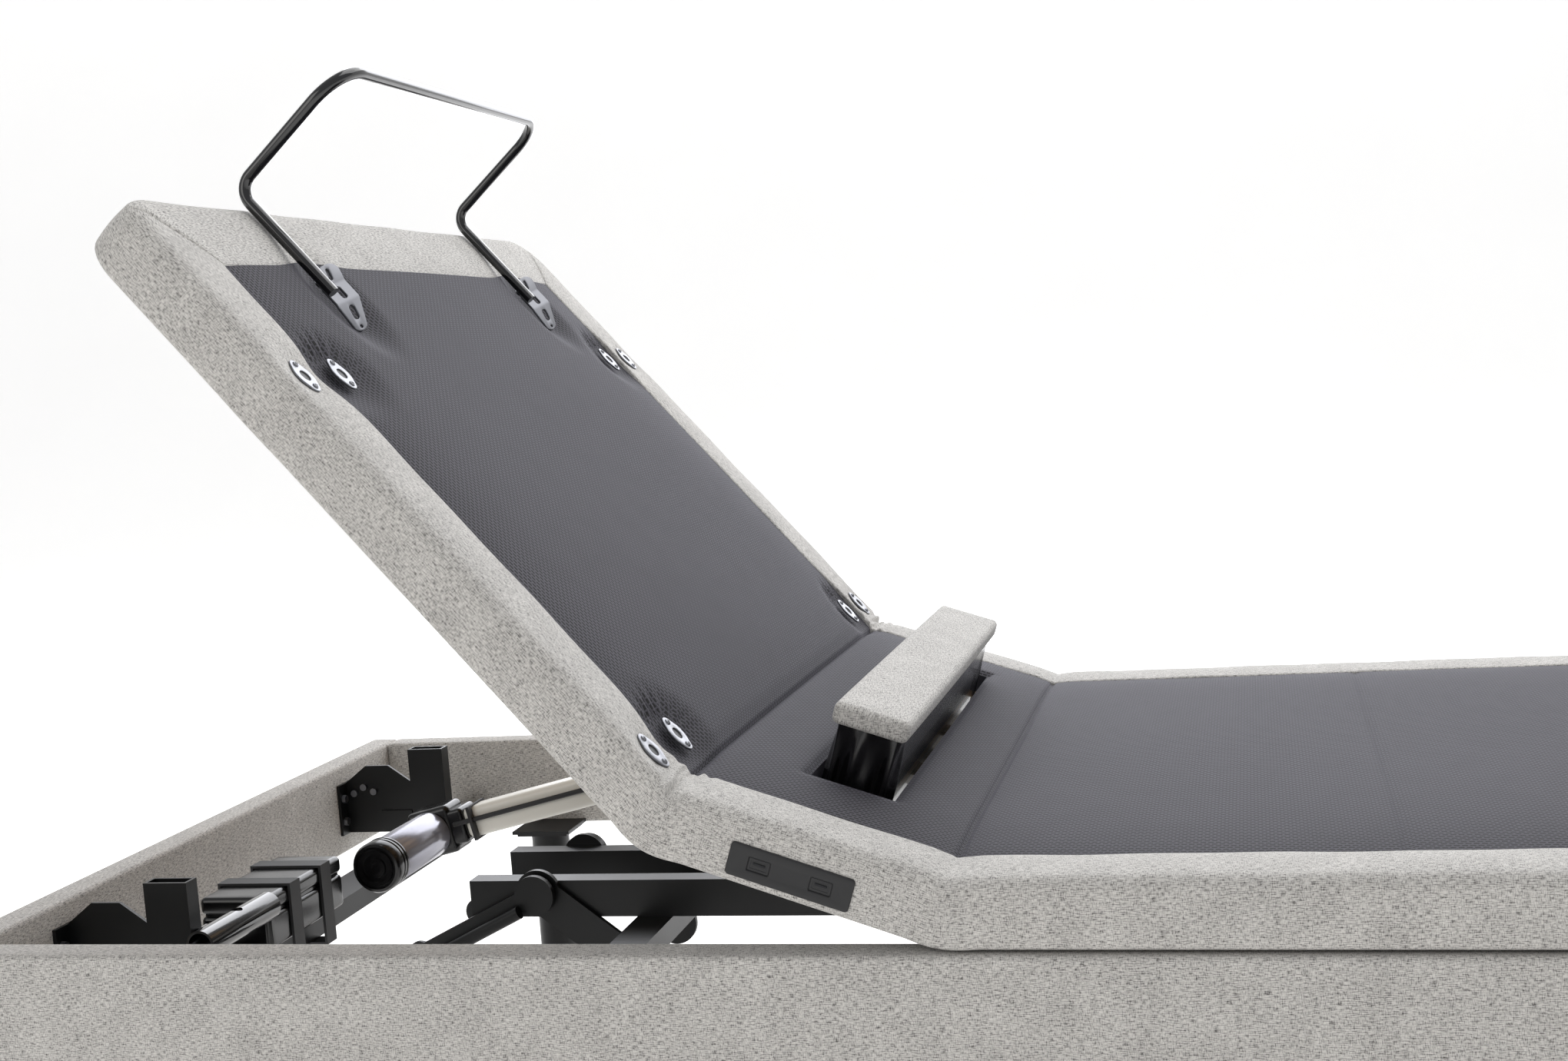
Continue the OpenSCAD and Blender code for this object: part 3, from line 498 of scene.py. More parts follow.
def finish_material(name, base, roughness, bump=None, strength=0.3, distance=MM, **sockets):
    """A material whose colour, roughness and bump come from base(tree), which returns them as sockets
    or values."""
    material = bpy.data.materials.new(name)
    material.use_nodes = True
    tree = material.node_tree
    shader = tree.nodes["Principled BSDF"]
    found = base(tree)
    for key, value in {"Base Color": found.get("colour"),
                       "Roughness": found.get("roughness", roughness)}.items():
        if isinstance(value, bpy.types.NodeSocket):
            tree.links.new(value, shader.inputs[key])
        else:
            shader.inputs[key].default_value = value
    if found.get("height") is not None:
        bumped = add(
            tree, "ShaderNodeBump", {"Strength": strength, "Distance": distance, "Height": found["height"]}
        )
        tree.links.new(bumped.outputs["Normal"], shader.inputs["Normal"])
    for key, value in sockets.items():
        shader.inputs[key.replace("_", " ")].default_value = value
    return material


def upholstery(name):
    """Linen-look polyester, plain woven from mixed yarn: matt, with short pale and dark flecks along
    both threads.
    Threads are drawn 1.1 mm apart, coarser than life, so that they show."""
    settings = bpy.context.scene.bed_fabric

    def base(tree):
        uv = add(tree, "ShaderNodeUVMap").outputs["UV"]
        warp = add(tree, "ShaderNodeMapping", {"Vector": uv, "Scale": (170, 1250, 1)}).outputs["Vector"]
        weft = add(tree, "ShaderNodeMapping", {"Vector": uv, "Scale": (1100, 260, 1)}).outputs["Vector"]
        long_fleck = add(tree, "ShaderNodeTexNoise", {"Vector": warp, "Scale": 1.0, "Detail": 2.0})
        cross_fleck = add(tree, "ShaderNodeTexNoise", {"Vector": weft, "Scale": 1.0, "Detail": 2.0})
        cloud = add(tree, "ShaderNodeTexNoise", {"Vector": uv, "Scale": 28.0, "Detail": 3.0})
        one = add(
            tree, "ShaderNodeMapRange",
            {"Value": long_fleck.outputs["Fac"], "From Min": 0.44, "From Max": 0.68}
        )
        two = add(
            tree, "ShaderNodeMapRange",
            {"Value": cross_fleck.outputs["Fac"], "From Min": 0.48, "From Max": 0.76}
        )
        both = add(
            tree, "ShaderNodeMath", {0: one.outputs["Result"], 1: two.outputs["Result"]}, operation="ADD"
        )
        cloudy = add(
            tree, "ShaderNodeMath", {0: cloud.outputs["Fac"], 1: 0.3, 2: -0.08}, operation="MULTIPLY_ADD"
        )
        dark = add(
            tree,
            "ShaderNodeMath",
            {0: both.outputs[0], 1: 0.62, 2: cloudy.outputs[0]},
            operation="MULTIPLY_ADD",
            use_clamp=True,
        )
        yarn = add(
            tree,
            "ShaderNodeMix",
            {0: dark.outputs[0], 6: colour(settings.light_yarn), 7: colour(settings.dark_yarn)},
            data_type="RGBA",
        )
        weave = add(
            tree,
            "ShaderNodeTexBrick",
            {"Vector": uv, "Scale": 1.0, "Mortar Size": 0.00022, "Mortar Smooth": 1.0,
             "Brick Width": 0.0017,
             "Row Height": 0.0011},
        )
        height = add(
            tree, "ShaderNodeMath", {0: both.outputs[0], 1: 0.45, 2: weave.outputs["Fac"]},
            operation="MULTIPLY_ADD"
        )
        turned = add(tree, "ShaderNodeMath", {0: height.outputs[0], 1: -1.0}, operation="MULTIPLY")
        return {"colour": yarn.outputs[2], "height": turned.outputs[0]}

    return finish_material(
        name, base, 0.92, strength=0.35, distance=0.5 * MM, Sheen_Weight=0.18, Sheen_Roughness=0.5, IOR=1.45
    )


def spacer_mesh(name):
    """Knitted polyester spacer mesh over foam: rows of staggered slots, with a soft sheen at a flat view.
    Slots are drawn 6.2 mm apart, coarser than life, so that they show."""
    settings = bpy.context.scene.bed_fabric

    def base(tree):
        uv = add(tree, "ShaderNodeUVMap").outputs["UV"]
        knit = add(
            tree,
            "ShaderNodeTexBrick",
            {"Vector": uv, "Scale": 1.0, "Mortar Size": 0.0011, "Mortar Smooth": 0.5, "Brick Width": 0.0062,
             "Row Height": 0.0043},
        )
        fuzz = add(tree, "ShaderNodeTexNoise", {"Vector": uv, "Scale": 900.0, "Detail": 2.0})
        cloud = add(tree, "ShaderNodeTexNoise", {"Vector": uv, "Scale": 22.0, "Detail": 3.0})
        worn = add(
            tree, "ShaderNodeMath", {0: cloud.outputs["Fac"], 1: 0.5, 2: 0.72}, operation="MULTIPLY_ADD"
        )
        grain = add(tree, "ShaderNodeMath", {0: fuzz.outputs["Fac"], 1: 0.3, 2: 0.85},
                    operation="MULTIPLY_ADD")
        lit = add(tree, "ShaderNodeMath", {0: worn.outputs[0], 1: grain.outputs[0]}, operation="MULTIPLY")
        thread = add(
            tree, "ShaderNodeMath", {0: knit.outputs["Fac"], 1: lit.outputs[0]}, operation="MULTIPLY",
            use_clamp=True
        )
        tone = add(
            tree,
            "ShaderNodeMix",
            {0: thread.outputs[0], 6: colour(settings.mesh_hole), 7: colour(settings.mesh_yarn)},
            data_type="RGBA",
        )
        return {"colour": tone.outputs[2], "height": knit.outputs["Fac"]}

    return finish_material(
        name,
        base,
        0.82,
        strength=0.6,
        distance=1.2 * MM,
        Sheen_Weight=0.22,
        Sheen_Roughness=0.35,
        Sheen_Tint=colour("#B9B6C8"),
    )


def grained(name, tone, shade, roughness, grain_mm, height_mm, spread=0.06, **sockets):
    """A hard finish with a fine random grain: tone with faint clouds of shade, uneven gloss and a low
    bump."""

    def base(tree):
        place = add(tree, "ShaderNodeTexCoord").outputs["Object"]
        fine = add(tree, "ShaderNodeTexNoise", {"Vector": place, "Scale": 1000 / grain_mm, "Detail": 2.0})
        cloud = add(tree, "ShaderNodeTexNoise", {"Vector": place, "Scale": 14.0, "Detail": 4.0})
        mixed = add(
            tree,
            "ShaderNodeMix",
            {0: cloud.outputs["Fac"], 6: colour(tone), 7: colour(shade)},
            data_type="RGBA",
        )
        gloss = add(
            tree,
            "ShaderNodeMapRange",
            {"Value": cloud.outputs["Fac"], "To Min": roughness - spread, "To Max": roughness + spread},
        )
        return {"colour": mixed.outputs[2], "roughness": gloss.outputs["Result"],
                "height": fine.outputs["Fac"]}

    return finish_material(name, base, roughness, strength=0.4, distance=height_mm * MM, **sockets)


def plywood(name):
    """Birch plywood, sanded: pale, with long soft grain and a dull face."""

    def base(tree):
        place = add(tree, "ShaderNodeTexCoord").outputs["Object"]
        longer = add(tree, "ShaderNodeMapping", {"Vector": place, "Scale": (90, 5, 90)}).outputs["Vector"]
        rings = add(tree, "ShaderNodeTexNoise",
                    {"Vector": longer, "Scale": 1.0, "Detail": 5.0, "Distortion": 1.4})
        tone = add(
            tree,
            "ShaderNodeMix",
            {0: rings.outputs["Fac"], 6: colour("#D2B48A"), 7: colour("#A07B4E")},
            data_type="RGBA",
        )
        return {"colour": tone.outputs[2], "height": rings.outputs["Fac"]}

    return finish_material(name, base, 0.62, strength=0.2, distance=0.3 * MM)


def make_materials():
    """Every finish of the bed base by its name."""
    return {
        "upholstery": upholstery("heather_upholstery"),
        "mesh": spacer_mesh("charcoal_spacer_mesh"),
        # soft PVC-coated cloth, calendered: black with sharp highlights
        "vinyl": grained("gloss_black_vinyl", "#050506", "#0A0A0C", 0.25, 3.0, 0.04, 0.03, Coat_Weight=0.2),
        # powder coat: satin black with a slight orange peel
        "powder": grained("black_powder_coat", "#08090A", "#0E0F10", 0.38, 1.2, 0.08,
                          Specular_IOR_Level=0.32),
        # bent rod in stoving enamel: deep black and glossy
        "enamel": grained("gloss_black_enamel", "#08080A", "#0E0E10", 0.14, 6.0, 0.04, 0.03,
                          Coat_Weight=0.6),
        # zinc-plated pressed steel: pale grey metal with uneven gloss
        "zinc": grained("zinc_plated_steel", "#86878B", "#737479", 0.36, 0.9, 0.05, 0.08, Metallic=1.0),
        # ground and chromed actuator rod
        "chrome": grained("chromed_rod", "#D8DADD", "#C4C6CA", 0.14, 0.5, 0.01, 0.04, Metallic=1.0),
        # moulded ABS, spark-eroded: matt black
        "abs": grained("black_moulded_abs", "#161617", "#1D1D1F", 0.5, 0.8, 0.12),
        # glass-filled nylon housing: black with some shine
        "nylon": grained("black_nylon_housing", "#070708", "#0D0D0E", 0.2, 1.6, 0.05),
        # painted motor shell: silver, smooth
        "shell": grained("silver_motor_shell", "#A3A3AC", "#92929C", 0.2, 2.5, 0.03, 0.05, Metallic=0.55),
        # extruded plastic outer tube, off-white
        "pale": grained("off_white_tube", "#E9E7DF", "#DCD9CF", 0.34, 2.0, 0.05),
        # rubber strap and cable jacket
        "rubber": grained("black_rubber", "#1C1C1D", "#28282A", 0.6, 1.0, 0.1),
        # tinned port shells, darkened all over: painted shade from inside the port slots
        "port": grained("dull_port_metal", "#232427", "#18191B", 0.5, 0.8, 0.04, Metallic=0.5),
        "plywood": plywood("birch_plywood"),
    }


M = {}


# ---------------------------------------------------------------- deck covers


def border_profile():
    """The border's section: share of the way from its inner to its outer edge, and height over the
    deck line.
    The inner edge stands on the pad's line; the skirt's inner wall is 18 mm from the outside."""
    crown = bpy.context.scene.bed_fabric.border_crown / MM
    top_y = np.linspace(3, 60, 16)
    top = np.stack([top_y, crown * np.sin(np.pi * (top_y - 3) / 58) ** 0.8], -1)
    edge = arc(60, -13, 13, 90, 0, 10)[1:]
    side_z = np.linspace(-13, -52, 9)[1:-1]
    side = np.stack([73 + 0.9 * np.sin(np.pi * (-side_z - 13) / 39), side_z], -1)
    low = arc(64, -52, 9, 0, -90, 7)
    inside = np.array([[59, -61], [55, -58], [55, -40], [55, -22], [28, -22], [0, -22], [0, -14], [0, -5]])
    lip = arc(3, -3, 3, 180, 90, 5)[:-1]
    outline = np.concatenate([lip, top, edge, side, low, inside])
    return outline[:, 0] / 73, outline[:, 1] * MM


def socket_pull(x, y):
    """How strongly a border socket draws the cloth in at (x, y), from 0 to 1, by its distance from the
    socket."""
    pull = np.zeros(np.broadcast(x, y).shape)
    for sx in SOCKET_X:
        pull = np.maximum(pull, bell(np.hypot((x - sx) * 0.8, np.abs(y) - SOCKET_Y[1]), 22 * MM))
    return pull


def edge_shift(x):
    """How far the sockets draw the border's inner edge outwards at x."""
    shift = np.zeros_like(x)
    for sx in SOCKET_X:
        shift = np.maximum(shift, 14 * MM * bell(x - sx, 36 * MM))
    return shift


def bracket_shift(y):
    """How far the retainer's brackets draw the head border's inner edge towards the head at y."""
    shift = np.zeros_like(y)
    for by in BRACKET_Y:
        shift = np.maximum(shift, 12 * MM * bell(y - by, 40 * MM))
    return shift


def border_relief(p, top_share):
    """Height added to the border's top: dips at the sockets, and folds where the cloth bunches at the
    hinges."""
    x, y = p[..., 0], p[..., 1]
    dip = -6.2 * MM * socket_pull(x, y)
    for by in BRACKET_Y:
        near_edge = smooth((x - HEAD_END - 30 * MM) / (56 * MM)) * smooth((ROD_FOOT_X - x) / (20 * MM))
        dip -= 6 * MM * bell(y - by, 30 * MM) * near_edge
    near = bell(x - HINGE_1, 25 * MM)
    folds = near * 1.5 * MM * np.cos((x - HINGE_1) / (2.3 * MM) + 1.3 * np.sin(np.abs(y) / (13 * MM)))
    folds += near * 1.1 * MM * np.sin((x - HINGE_1) / (4.1 * MM) - np.abs(y) / (9 * MM))
    crease = -3.2 * MM * bell(x - HINGE_1 + 2 * MM, 3.5 * MM) - 1.3 * MM * bell(x - HINGE_2, 5 * MM)
    soft = 0.5 * MM * np.sin(x / (61 * MM) + y / (27 * MM)) * np.sin(x / (23 * MM) - 1.1)
    return (dip + folds + crease + soft) * top_share


def border_rings(inner, outer, seams=()):
    """Rings of a border from its inner and outer lines in plan, with a groove down each seam's ring."""
    share, height = border_profile()
    plan = inner[:, None] + share[None, :, None] * (outer - inner)[:, None]
    p = np.concatenate([plan, np.broadcast_to(DECK_TOP + height, plan.shape[:2])[..., None]], -1)
    top_share = smooth((height + 14 * MM) / (12 * MM)) * np.ones(plan.shape[:2])
    below, above = smooth(-height / (8 * MM)), smooth((height + 58 * MM) / (8 * MM))
    side_share = smooth((share - 0.6) / 0.3) * below * above
    p[..., 2] += border_relief(p, top_share)
    # the tight cloth of the side ripples a little where the deck bends
    ripple = 0.8 * MM * bell(p[..., 0] - HINGE_1,
                             60 * MM) * np.sin(p[..., 0] / (9 * MM) + p[..., 2] / (15 * MM))
    p[..., 1] += np.sign(p[..., 1]) * ripple * side_share
    travel = along(outer)
    for k in seams:
        groove = bell(travel - travel[k], 2.2 * MM)[:, None]
        p[..., 2] -= 1.6 * MM * groove * top_share
    ring = np.stack([share * 73 * MM, height], -1)
    v = along(np.concatenate([ring, ring[:1]]))
    u = (outer[:, 0] if len(seams) == 0 else travel)[:, None]
    return p, np.stack(np.broadcast_arrays(u, v[None]), -1)


def strip_lines(x, side):
    """Inner and outer lines of a straight border at stations x on one side of the bed."""
    inner = np.stack([x, side * (MESH_Y + edge_shift(x))], -1)
    return inner, np.stack([x, np.full_like(x, side * DECK_Y)], -1)


def corner_lines(end, turn_in):
    """Inner and outer lines from a side round one mitred corner to the middle of the end border.
    end is the end's x, and turn_in is +1 where the deck lies on its +X side. The mitre is the station
    that both parts share."""
    d = turn_in
    first = end + d * 150 * MM
    side_run = abs(150 * MM - CORNER)
    bend = CORNER * math.pi / 4

    def outline(s):
        """Point of the outer line at length s from the first station, on the near side."""
        a = np.clip((s - side_run) / CORNER, 0, math.pi / 2)
        past = np.maximum(s - side_run - 2 * bend, 0)
        x = first - d * np.minimum(s, side_run) - d * CORNER * np.sin(a)
        y = -(DECK_Y - CORNER) - CORNER * np.cos(a) + past
        return np.stack([x, y], -1)

    gather = 1 - (1 - np.linspace(0, 1, 46)) ** 1.7
    before = gather[:, None]
    corner = np.array([end + d * END_BORDER, -MESH_Y])
    inner_a = np.array([first, -MESH_Y]) * (1 - before) + corner * before
    outer_a = outline(gather * (side_run + bend))
    after = (1 - gather[::-1])[1:, None]
    reach = 78 * MM
    inner_b = corner * (1 - after) + (corner + np.array([0, reach])) * after
    run = DECK_Y - CORNER - (MESH_Y - reach) + bend
    outer_b = outline(side_run + bend + after[:, 0] * run)
    y = stations(inner_b[-1, 1], 0.0, 8 * MM, (), MM, MM)[1:]
    inner_c = np.stack([np.full_like(y, corner[0]), y], -1)
    outer_c = np.stack([np.full_like(y, end), y], -1)
    mitre = len(gather) - 1
    return np.concatenate([inner_a, inner_b, inner_c]), np.concatenate([outer_a, outer_b, outer_c]), mitre


def end_border(name, end, turn_in, split, bend_at, body_b, nodes, material):
    """A border round one end of the deck, from a split on the near side to the same split on the far
    side."""
    first = end + turn_in * 150 * MM
    places, fine = ([bend_at, *SOCKET_X], 1.6 * MM) if turn_in > 0 else ([bend_at], 2.5 * MM)
    x = stations(split, first, 9 * MM, places, fine, 46 * MM)[:-1]
    inner_s, outer_s = strip_lines(x, -1)
    inner_c, outer_c, mitre = corner_lines(end, turn_in)
    inner, outer = np.concatenate([inner_s, inner_c]), np.concatenate([outer_s, outer_c])
    flip = np.array([1, -1])
    seam = len(x) + mitre
    last = 2 * (len(inner) - 1)
    inner = np.concatenate([inner, (inner * flip)[::-1][1:]])
    outer = np.concatenate([outer, (outer * flip)[::-1][1:]])
    if turn_in > 0:
        across = np.abs(inner[:, 0] - end - END_BORDER) < 0.1 * MM
        inner[:, 0] -= bracket_shift(inner[:, 1]) * across
    rings, uv = border_rings(inner, outer, (seam, last - seam))
    obj = tubes(name, [(stored(rings), uv)], 50)
    return dress(obj, material, nodes, body_b, bend_at)


def dress(obj, material, nodes, body_b, bend_at):
    paint(obj, material)
    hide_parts(*nodes)
    half = bpy.context.scene.bed_bend.width / 2
    ends = np.array([[bend_at + half, 0, PIVOT_Z], [bend_at - half, 0, PIVOT_Z]])
    start, end = stored(ends)
    if body_b in ("thigh_section", "foot_section"):
        start, end = end, start
    tuple(start)
    tuple(end)
    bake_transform(obj)
    return obj


def side_borders(name, x0, x1, bend_at, body_b, nodes, material):
    """The near and far borders of a stretch of deck between two splits."""
    x = stations(x0, x1, 9 * MM, [bend_at], 2 * MM, 44 * MM)
    parts = []
    for side in (-1, 1):
        rings, uv = border_rings(*strip_lines(x, side))
        parts.append((stored(rings), uv))
    return dress(tubes(name, parts, 50), material, nodes, body_b, bend_at)


def pad_relief(x, y):
    """Height of the mesh over the deck line: a low crown, dimples at the sockets and brackets with
    pleats round them,
    sewn creases at the hinges, and a roll down into the lumbar bar's slot."""
    settings = bpy.context.scene.bed_fabric
    crown = settings.pad_crown
    reach = np.abs(y) / MESH_Y
    z = crown * (1 - reach**8) - 1.5 * MM * reach**8
    z += 0.7 * MM * np.sin(x / (83 * MM)) * np.cos(y / (97 * MM))
    for sx in SOCKET_X:
        dx, dy = x - sx, np.abs(y) - SOCKET_Y[0]
        r = np.hypot(dx, dy)
        angle = np.arctan2(dy, dx)
        z -= (crown + 4.2 * MM) * smooth((64 * MM - r) / (54 * MM))
        pleats = 1.5 * MM * np.cos(19 * angle) * bell(r - 34 * MM,
                                                      14 * MM) * smooth((-dx - 0.3 * dy) / (30 * MM))
        z += pleats
        z -= 1.5 * MM * bell(x - sx, 26 * MM) * smooth((np.abs(y) - SOCKET_Y[0]) / (30 * MM))
    for by in BRACKET_Y:
        r = np.hypot((x - ROD_FOOT_X - 4 * MM) * 0.62, y - by)
        z -= (crown + 8 * MM) * smooth((58 * MM - r) / (50 * MM))
    crease = bpy.context.scene.bed_bend.crease
    for hinge, share in ((HINGE_1, 1.3), (HINGE_2, 1.0), (HINGE_3, 0.45), (HINGE_4, 0.45)):
        z -= share * crease * bell(x - hinge, 4.5 * MM)
    out = np.maximum(np.maximum(np.abs(x - BAR_X) - SLOT_X, np.abs(y) - SLOT_Y), 0)
    z -= 5 * MM * (1 - smooth(out / (9 * MM)))
    return z


def mesh_pad(name, x0, x1, bend_at, body_b, nodes, material, low=PAD_LOW):
    """One stretch of mesh-covered pad, with the lumbar bar's slot left open where it falls in it."""
    fine = [bend_at]
    if bend_at == HINGE_1:
        fine += [*SOCKET_X, ROD_FOOT_X]
    x = stations(x0, x1, 9 * MM, fine, 2 * MM, 40 * MM)
    slot_x = (BAR_X - SLOT_X, BAR_X + SLOT_X)
    has_slot = min(x0, x1) < BAR_X < max(x0, x1)
    if has_slot:
        rim = np.concatenate([e + np.array([-6, -3, 0, 3, 6]) * MM for e in slot_x])
        x = np.sort(np.concatenate([x[np.abs(x[:, None] - rim).min(1) > 1.5 * MM], rim]))
    y = stations(-1.0, 1.0, 0.024, [s * SOCKET_Y[0] / MESH_Y for s in (-1, 1)], 0.006, 0.09)
    if has_slot:
        rim = np.concatenate([s * SLOT_Y + np.array([-6, -3, 0, 3, 6]) * MM for s in (-1, 1)]) / MESH_Y
        y = np.sort(np.concatenate([y[np.abs(y[:, None] - rim).min(1) > 0.004], rim]))
    gx, gq = np.meshgrid(x, y, indexing="ij")
    gy = gq * MESH_Y + np.sign(gq) * edge_shift(gx) * np.abs(gq) ** 12
    gx = gx - bracket_shift(gy) * np.exp(-(gx - HEAD_END - END_BORDER) / (10 * MM))
    top = np.stack([gx, gy, DECK_TOP + pad_relief(gx, gy)], -1)
    bottom = np.stack([gx, gy, np.full_like(gx, low)], -1)
    keep = np.ones((len(x) - 1, len(y) - 1), bool)
    if has_slot:
        mid_x, mid_y = (x[1:] + x[:-1]) / 2, (y[1:] + y[:-1]) / 2 * MESH_Y
        keep = ~((np.abs(mid_x - BAR_X) < SLOT_X)[:, None] & (np.abs(mid_y) < SLOT_Y)[None])
    obj = slab(name, stored(top), stored(bottom), keep, np.stack([gx, gy], -1), 50)
    return dress(obj, material, nodes, body_b, bend_at)


class BED_OT_borders(bpy.types.Operator):
    """Upholstered borders round the deck, in four stretches that bend over the hinges"""

    bl_idname = "bed.borders"
    bl_label = "Deck Borders"

    def execute(self, context):
        cloth = M["upholstery"]
        end_border("border_head", HEAD_END, 1, SPLIT_LUMBAR, HINGE_1, "back_section",
                   ["back_rim"], cloth)
        side_borders("border_waist", SPLIT_LUMBAR, SPLIT_SEAT, HINGE_2, "lumbar_section",
                     ["lumbar_rims"], cloth)
        side_borders("border_seat", SPLIT_SEAT, SPLIT_THIGH, HINGE_3, "thigh_section",
                     ["seat_rims", "thigh_rims"], cloth)
        end_border("border_foot", FOOT_END, -1, SPLIT_THIGH, HINGE_4, "foot_section",
                   ["foot_rim"], cloth)
        return {"FINISHED"}


class BED_OT_pads(bpy.types.Operator):
    """Mesh-covered pads inside the borders"""

    bl_idname = "bed.pads"
    bl_label = "Mesh Pads"

    def execute(self, context):
        knit = M["mesh"]
        mesh_pad("pad_back", HEAD_END + END_BORDER, SPLIT_LUMBAR, HINGE_1, "back_section",
                 ["back_mesh"], knit)
        mesh_pad("pad_lumbar", SPLIT_LUMBAR, SPLIT_SEAT, HINGE_2, "lumbar_section",
                 ["lumbar_mesh"], knit)
        mesh_pad("pad_seat", SPLIT_SEAT, SPLIT_THIGH, HINGE_3, "thigh_section",
                 ["seat_mesh", "thigh_mesh"], knit)
        mesh_pad("pad_foot", SPLIT_THIGH, FOOT_END - END_BORDER, HINGE_4, "foot_section",
                 ["foot_mesh"], knit)
        return {"FINISHED"}


class BED_OT_stitches(bpy.types.Operator):
    """Double row of stitches beside each mitre seam"""

    bl_idname = "bed.stitches"
    bl_label = "Mitre Stitches"

    def execute(self, context):
        for name, end, d, place, body in (
            ("stitches_head", HEAD_END, 1, on_back, "back_section"),
            ("stitches_foot", FOOT_END, -1, stay, "foot_section"),
        ):
            parts = []
            outer = np.array([end + d * CORNER * (1 - math.sin(math.pi / 4)),
                              -DECK_Y + CORNER * (1 - math.cos(math.pi / 4))])
            inner = np.array([end + d * END_BORDER, -MESH_Y])
            line = (inner - outer) / np.linalg.norm(inner - outer)
            across = np.array([-line[1], line[0]])
            crown = bpy.context.scene.bed_fabric.border_crown
            for side in (-1, 1):
                for row in (-1, 1):
                    for s in np.arange(19, 88, 4.6) * MM:
                        share = 1 - s / np.linalg.norm(inner - outer)
                        z = DECK_TOP + crown * max(math.sin(math.pi * min(share * 1.25, 1)), 0) - 0.35 * MM
                        ends = outer + line * (s + np.array([[-1.3], [1.3]]) * MM) + across * row * 3.4 * MM
                        path = np.linspace(ends[0], ends[1], 5) * np.array([1, side])
                        arch = 0.5 * MM * np.sin(np.linspace(0, math.pi, 5))
                        points = np.concatenate([path, (z + arch)[:, None]], 1)
                        rings, uv = pipe(points, 0.42 * MM, 6)
                        parts.append((place(rings), uv))
            rigid(tubes(name, parts), "upholstery", "deck_fabric", body)
        return {"FINISHED"}


# ---------------------------------------------------------------- retainer and sockets


def strap_bend(p):
    """Bends a retainer bracket: a raised ear at the head end, a middle that leans sideways, and a tip
    bent down."""
    x, z = p[..., 0], p[..., 2]
    ear = np.clip(-14 * MM - x, 0, None)
    tip = np.clip(x - 6 * MM, 0, None)
    lift = ear * 0.32 - tip * 0.3 + (p[..., 1] + 13 * MM) * 0.55
    return np.stack([x, p[..., 1], z + lift - 4 * MM], -1)


def bracket_place(y):
    """Carries a bracket drawn about nought to its place beside a leg of the retainer."""

    def place(p):
        moved = strap_bend(p) + np.array([ROD_FOOT_X + 2 * MM, y, DECK_TOP + 1.5 * MM])
        return on_back(moved)

    return place


class BED_OT_retainer(bpy.types.Operator):
    """Bent rod that keeps the mattress in place"""

    bl_idname = "bed.retainer"
    bl_label = "Retainer Bar"

    def execute(self, context):
        z = DECK_TOP + 8 * MM
        corners = [(ROD_FOOT_X, -LOOP_Y, z), (ROD_X, -LOOP_Y, z), (ROD_X, -LOOP_Y, LOOP_TOP),
                   (ROD_X, LOOP_Y, LOOP_TOP), (ROD_X, LOOP_Y, z), (ROD_FOOT_X, LOOP_Y, z)]
        path = rounded_path(corners, (20 * MM, 44 * MM, 44 * MM, 20 * MM), 20)
        rings, uv = pipe(path, 6 * MM, 32)
        rigid(tubes("retainer_rod", [(on_back(rings), uv)]), "enamel", "gloss_rod", "back_section",
              "retainer_bar")
        return {"FINISHED"}


class BED_OT_brackets(bpy.types.Operator):
    """Bent straps with two slots that hold the retainer, with their domed bolts"""

    bl_idname = "bed.brackets"
    bl_label = "Retainer Brackets"

    def execute(self, context):
        outline = np.concatenate([
            arc(30 * MM, 0, 8 * MM, -60, 60, 12), arc(8 * MM, 9 * MM, 4 * MM, 60, 90, 5),
            arc(-24 * MM, 2 * MM, 11 * MM, 90, 180, 9), arc(-24 * MM, -2 * MM, 11 * MM, 180, 270, 9),
            arc(8 * MM, -9 * MM, 4 * MM, -90, -60, 5)])
        holes = [stadium(15 * MM, 6 * MM) + np.array([-4 * MM, 0]),
                 stadium(15 * MM, 6.5 * MM) + np.array([19 * MM, 0]),
                 arc(34 * MM, 0, 1.8 * MM, 0, 345, 20), stadium(12 * MM, 4 * MM) + np.array([-25 * MM, 0])]
        parts = [([outline, *holes], 2.6 * MM, 0.5 * MM, bracket_place(y)) for y in BRACKET_Y]
        cuts = np.array([-16, -14, -12, 4, 6, 8]) * MM
        rigid(plates("retainer_straps", parts, cuts), "zinc", "plated_steel", "back_section",
              "retainer_brackets")
        dome = [(0, 4.2), (2.2, 4.0), (4.2, 3.2), (5.6, 1.6), (6, 0), (6, -1.6), (7.5, -1.8), (7.5, -2.6),
                (0, -2.6)]
        profile = np.array(dome) * MM
        parts = []
        for y in BRACKET_Y:
            side = -9.5 * MM
            rings, uv = lathe(profile, np.array([ROD_FOOT_X - 20 * MM, y + side, DECK_TOP + 4 * MM]),
                              (0, -0.55, 1), (1, 0, 0), 40)
            parts.append((on_back(rings), uv))
        rigid(tubes("retainer_bolts", parts), "zinc", "plated_steel", "back_section", "back_fasteners")
        return {"FINISHED"}


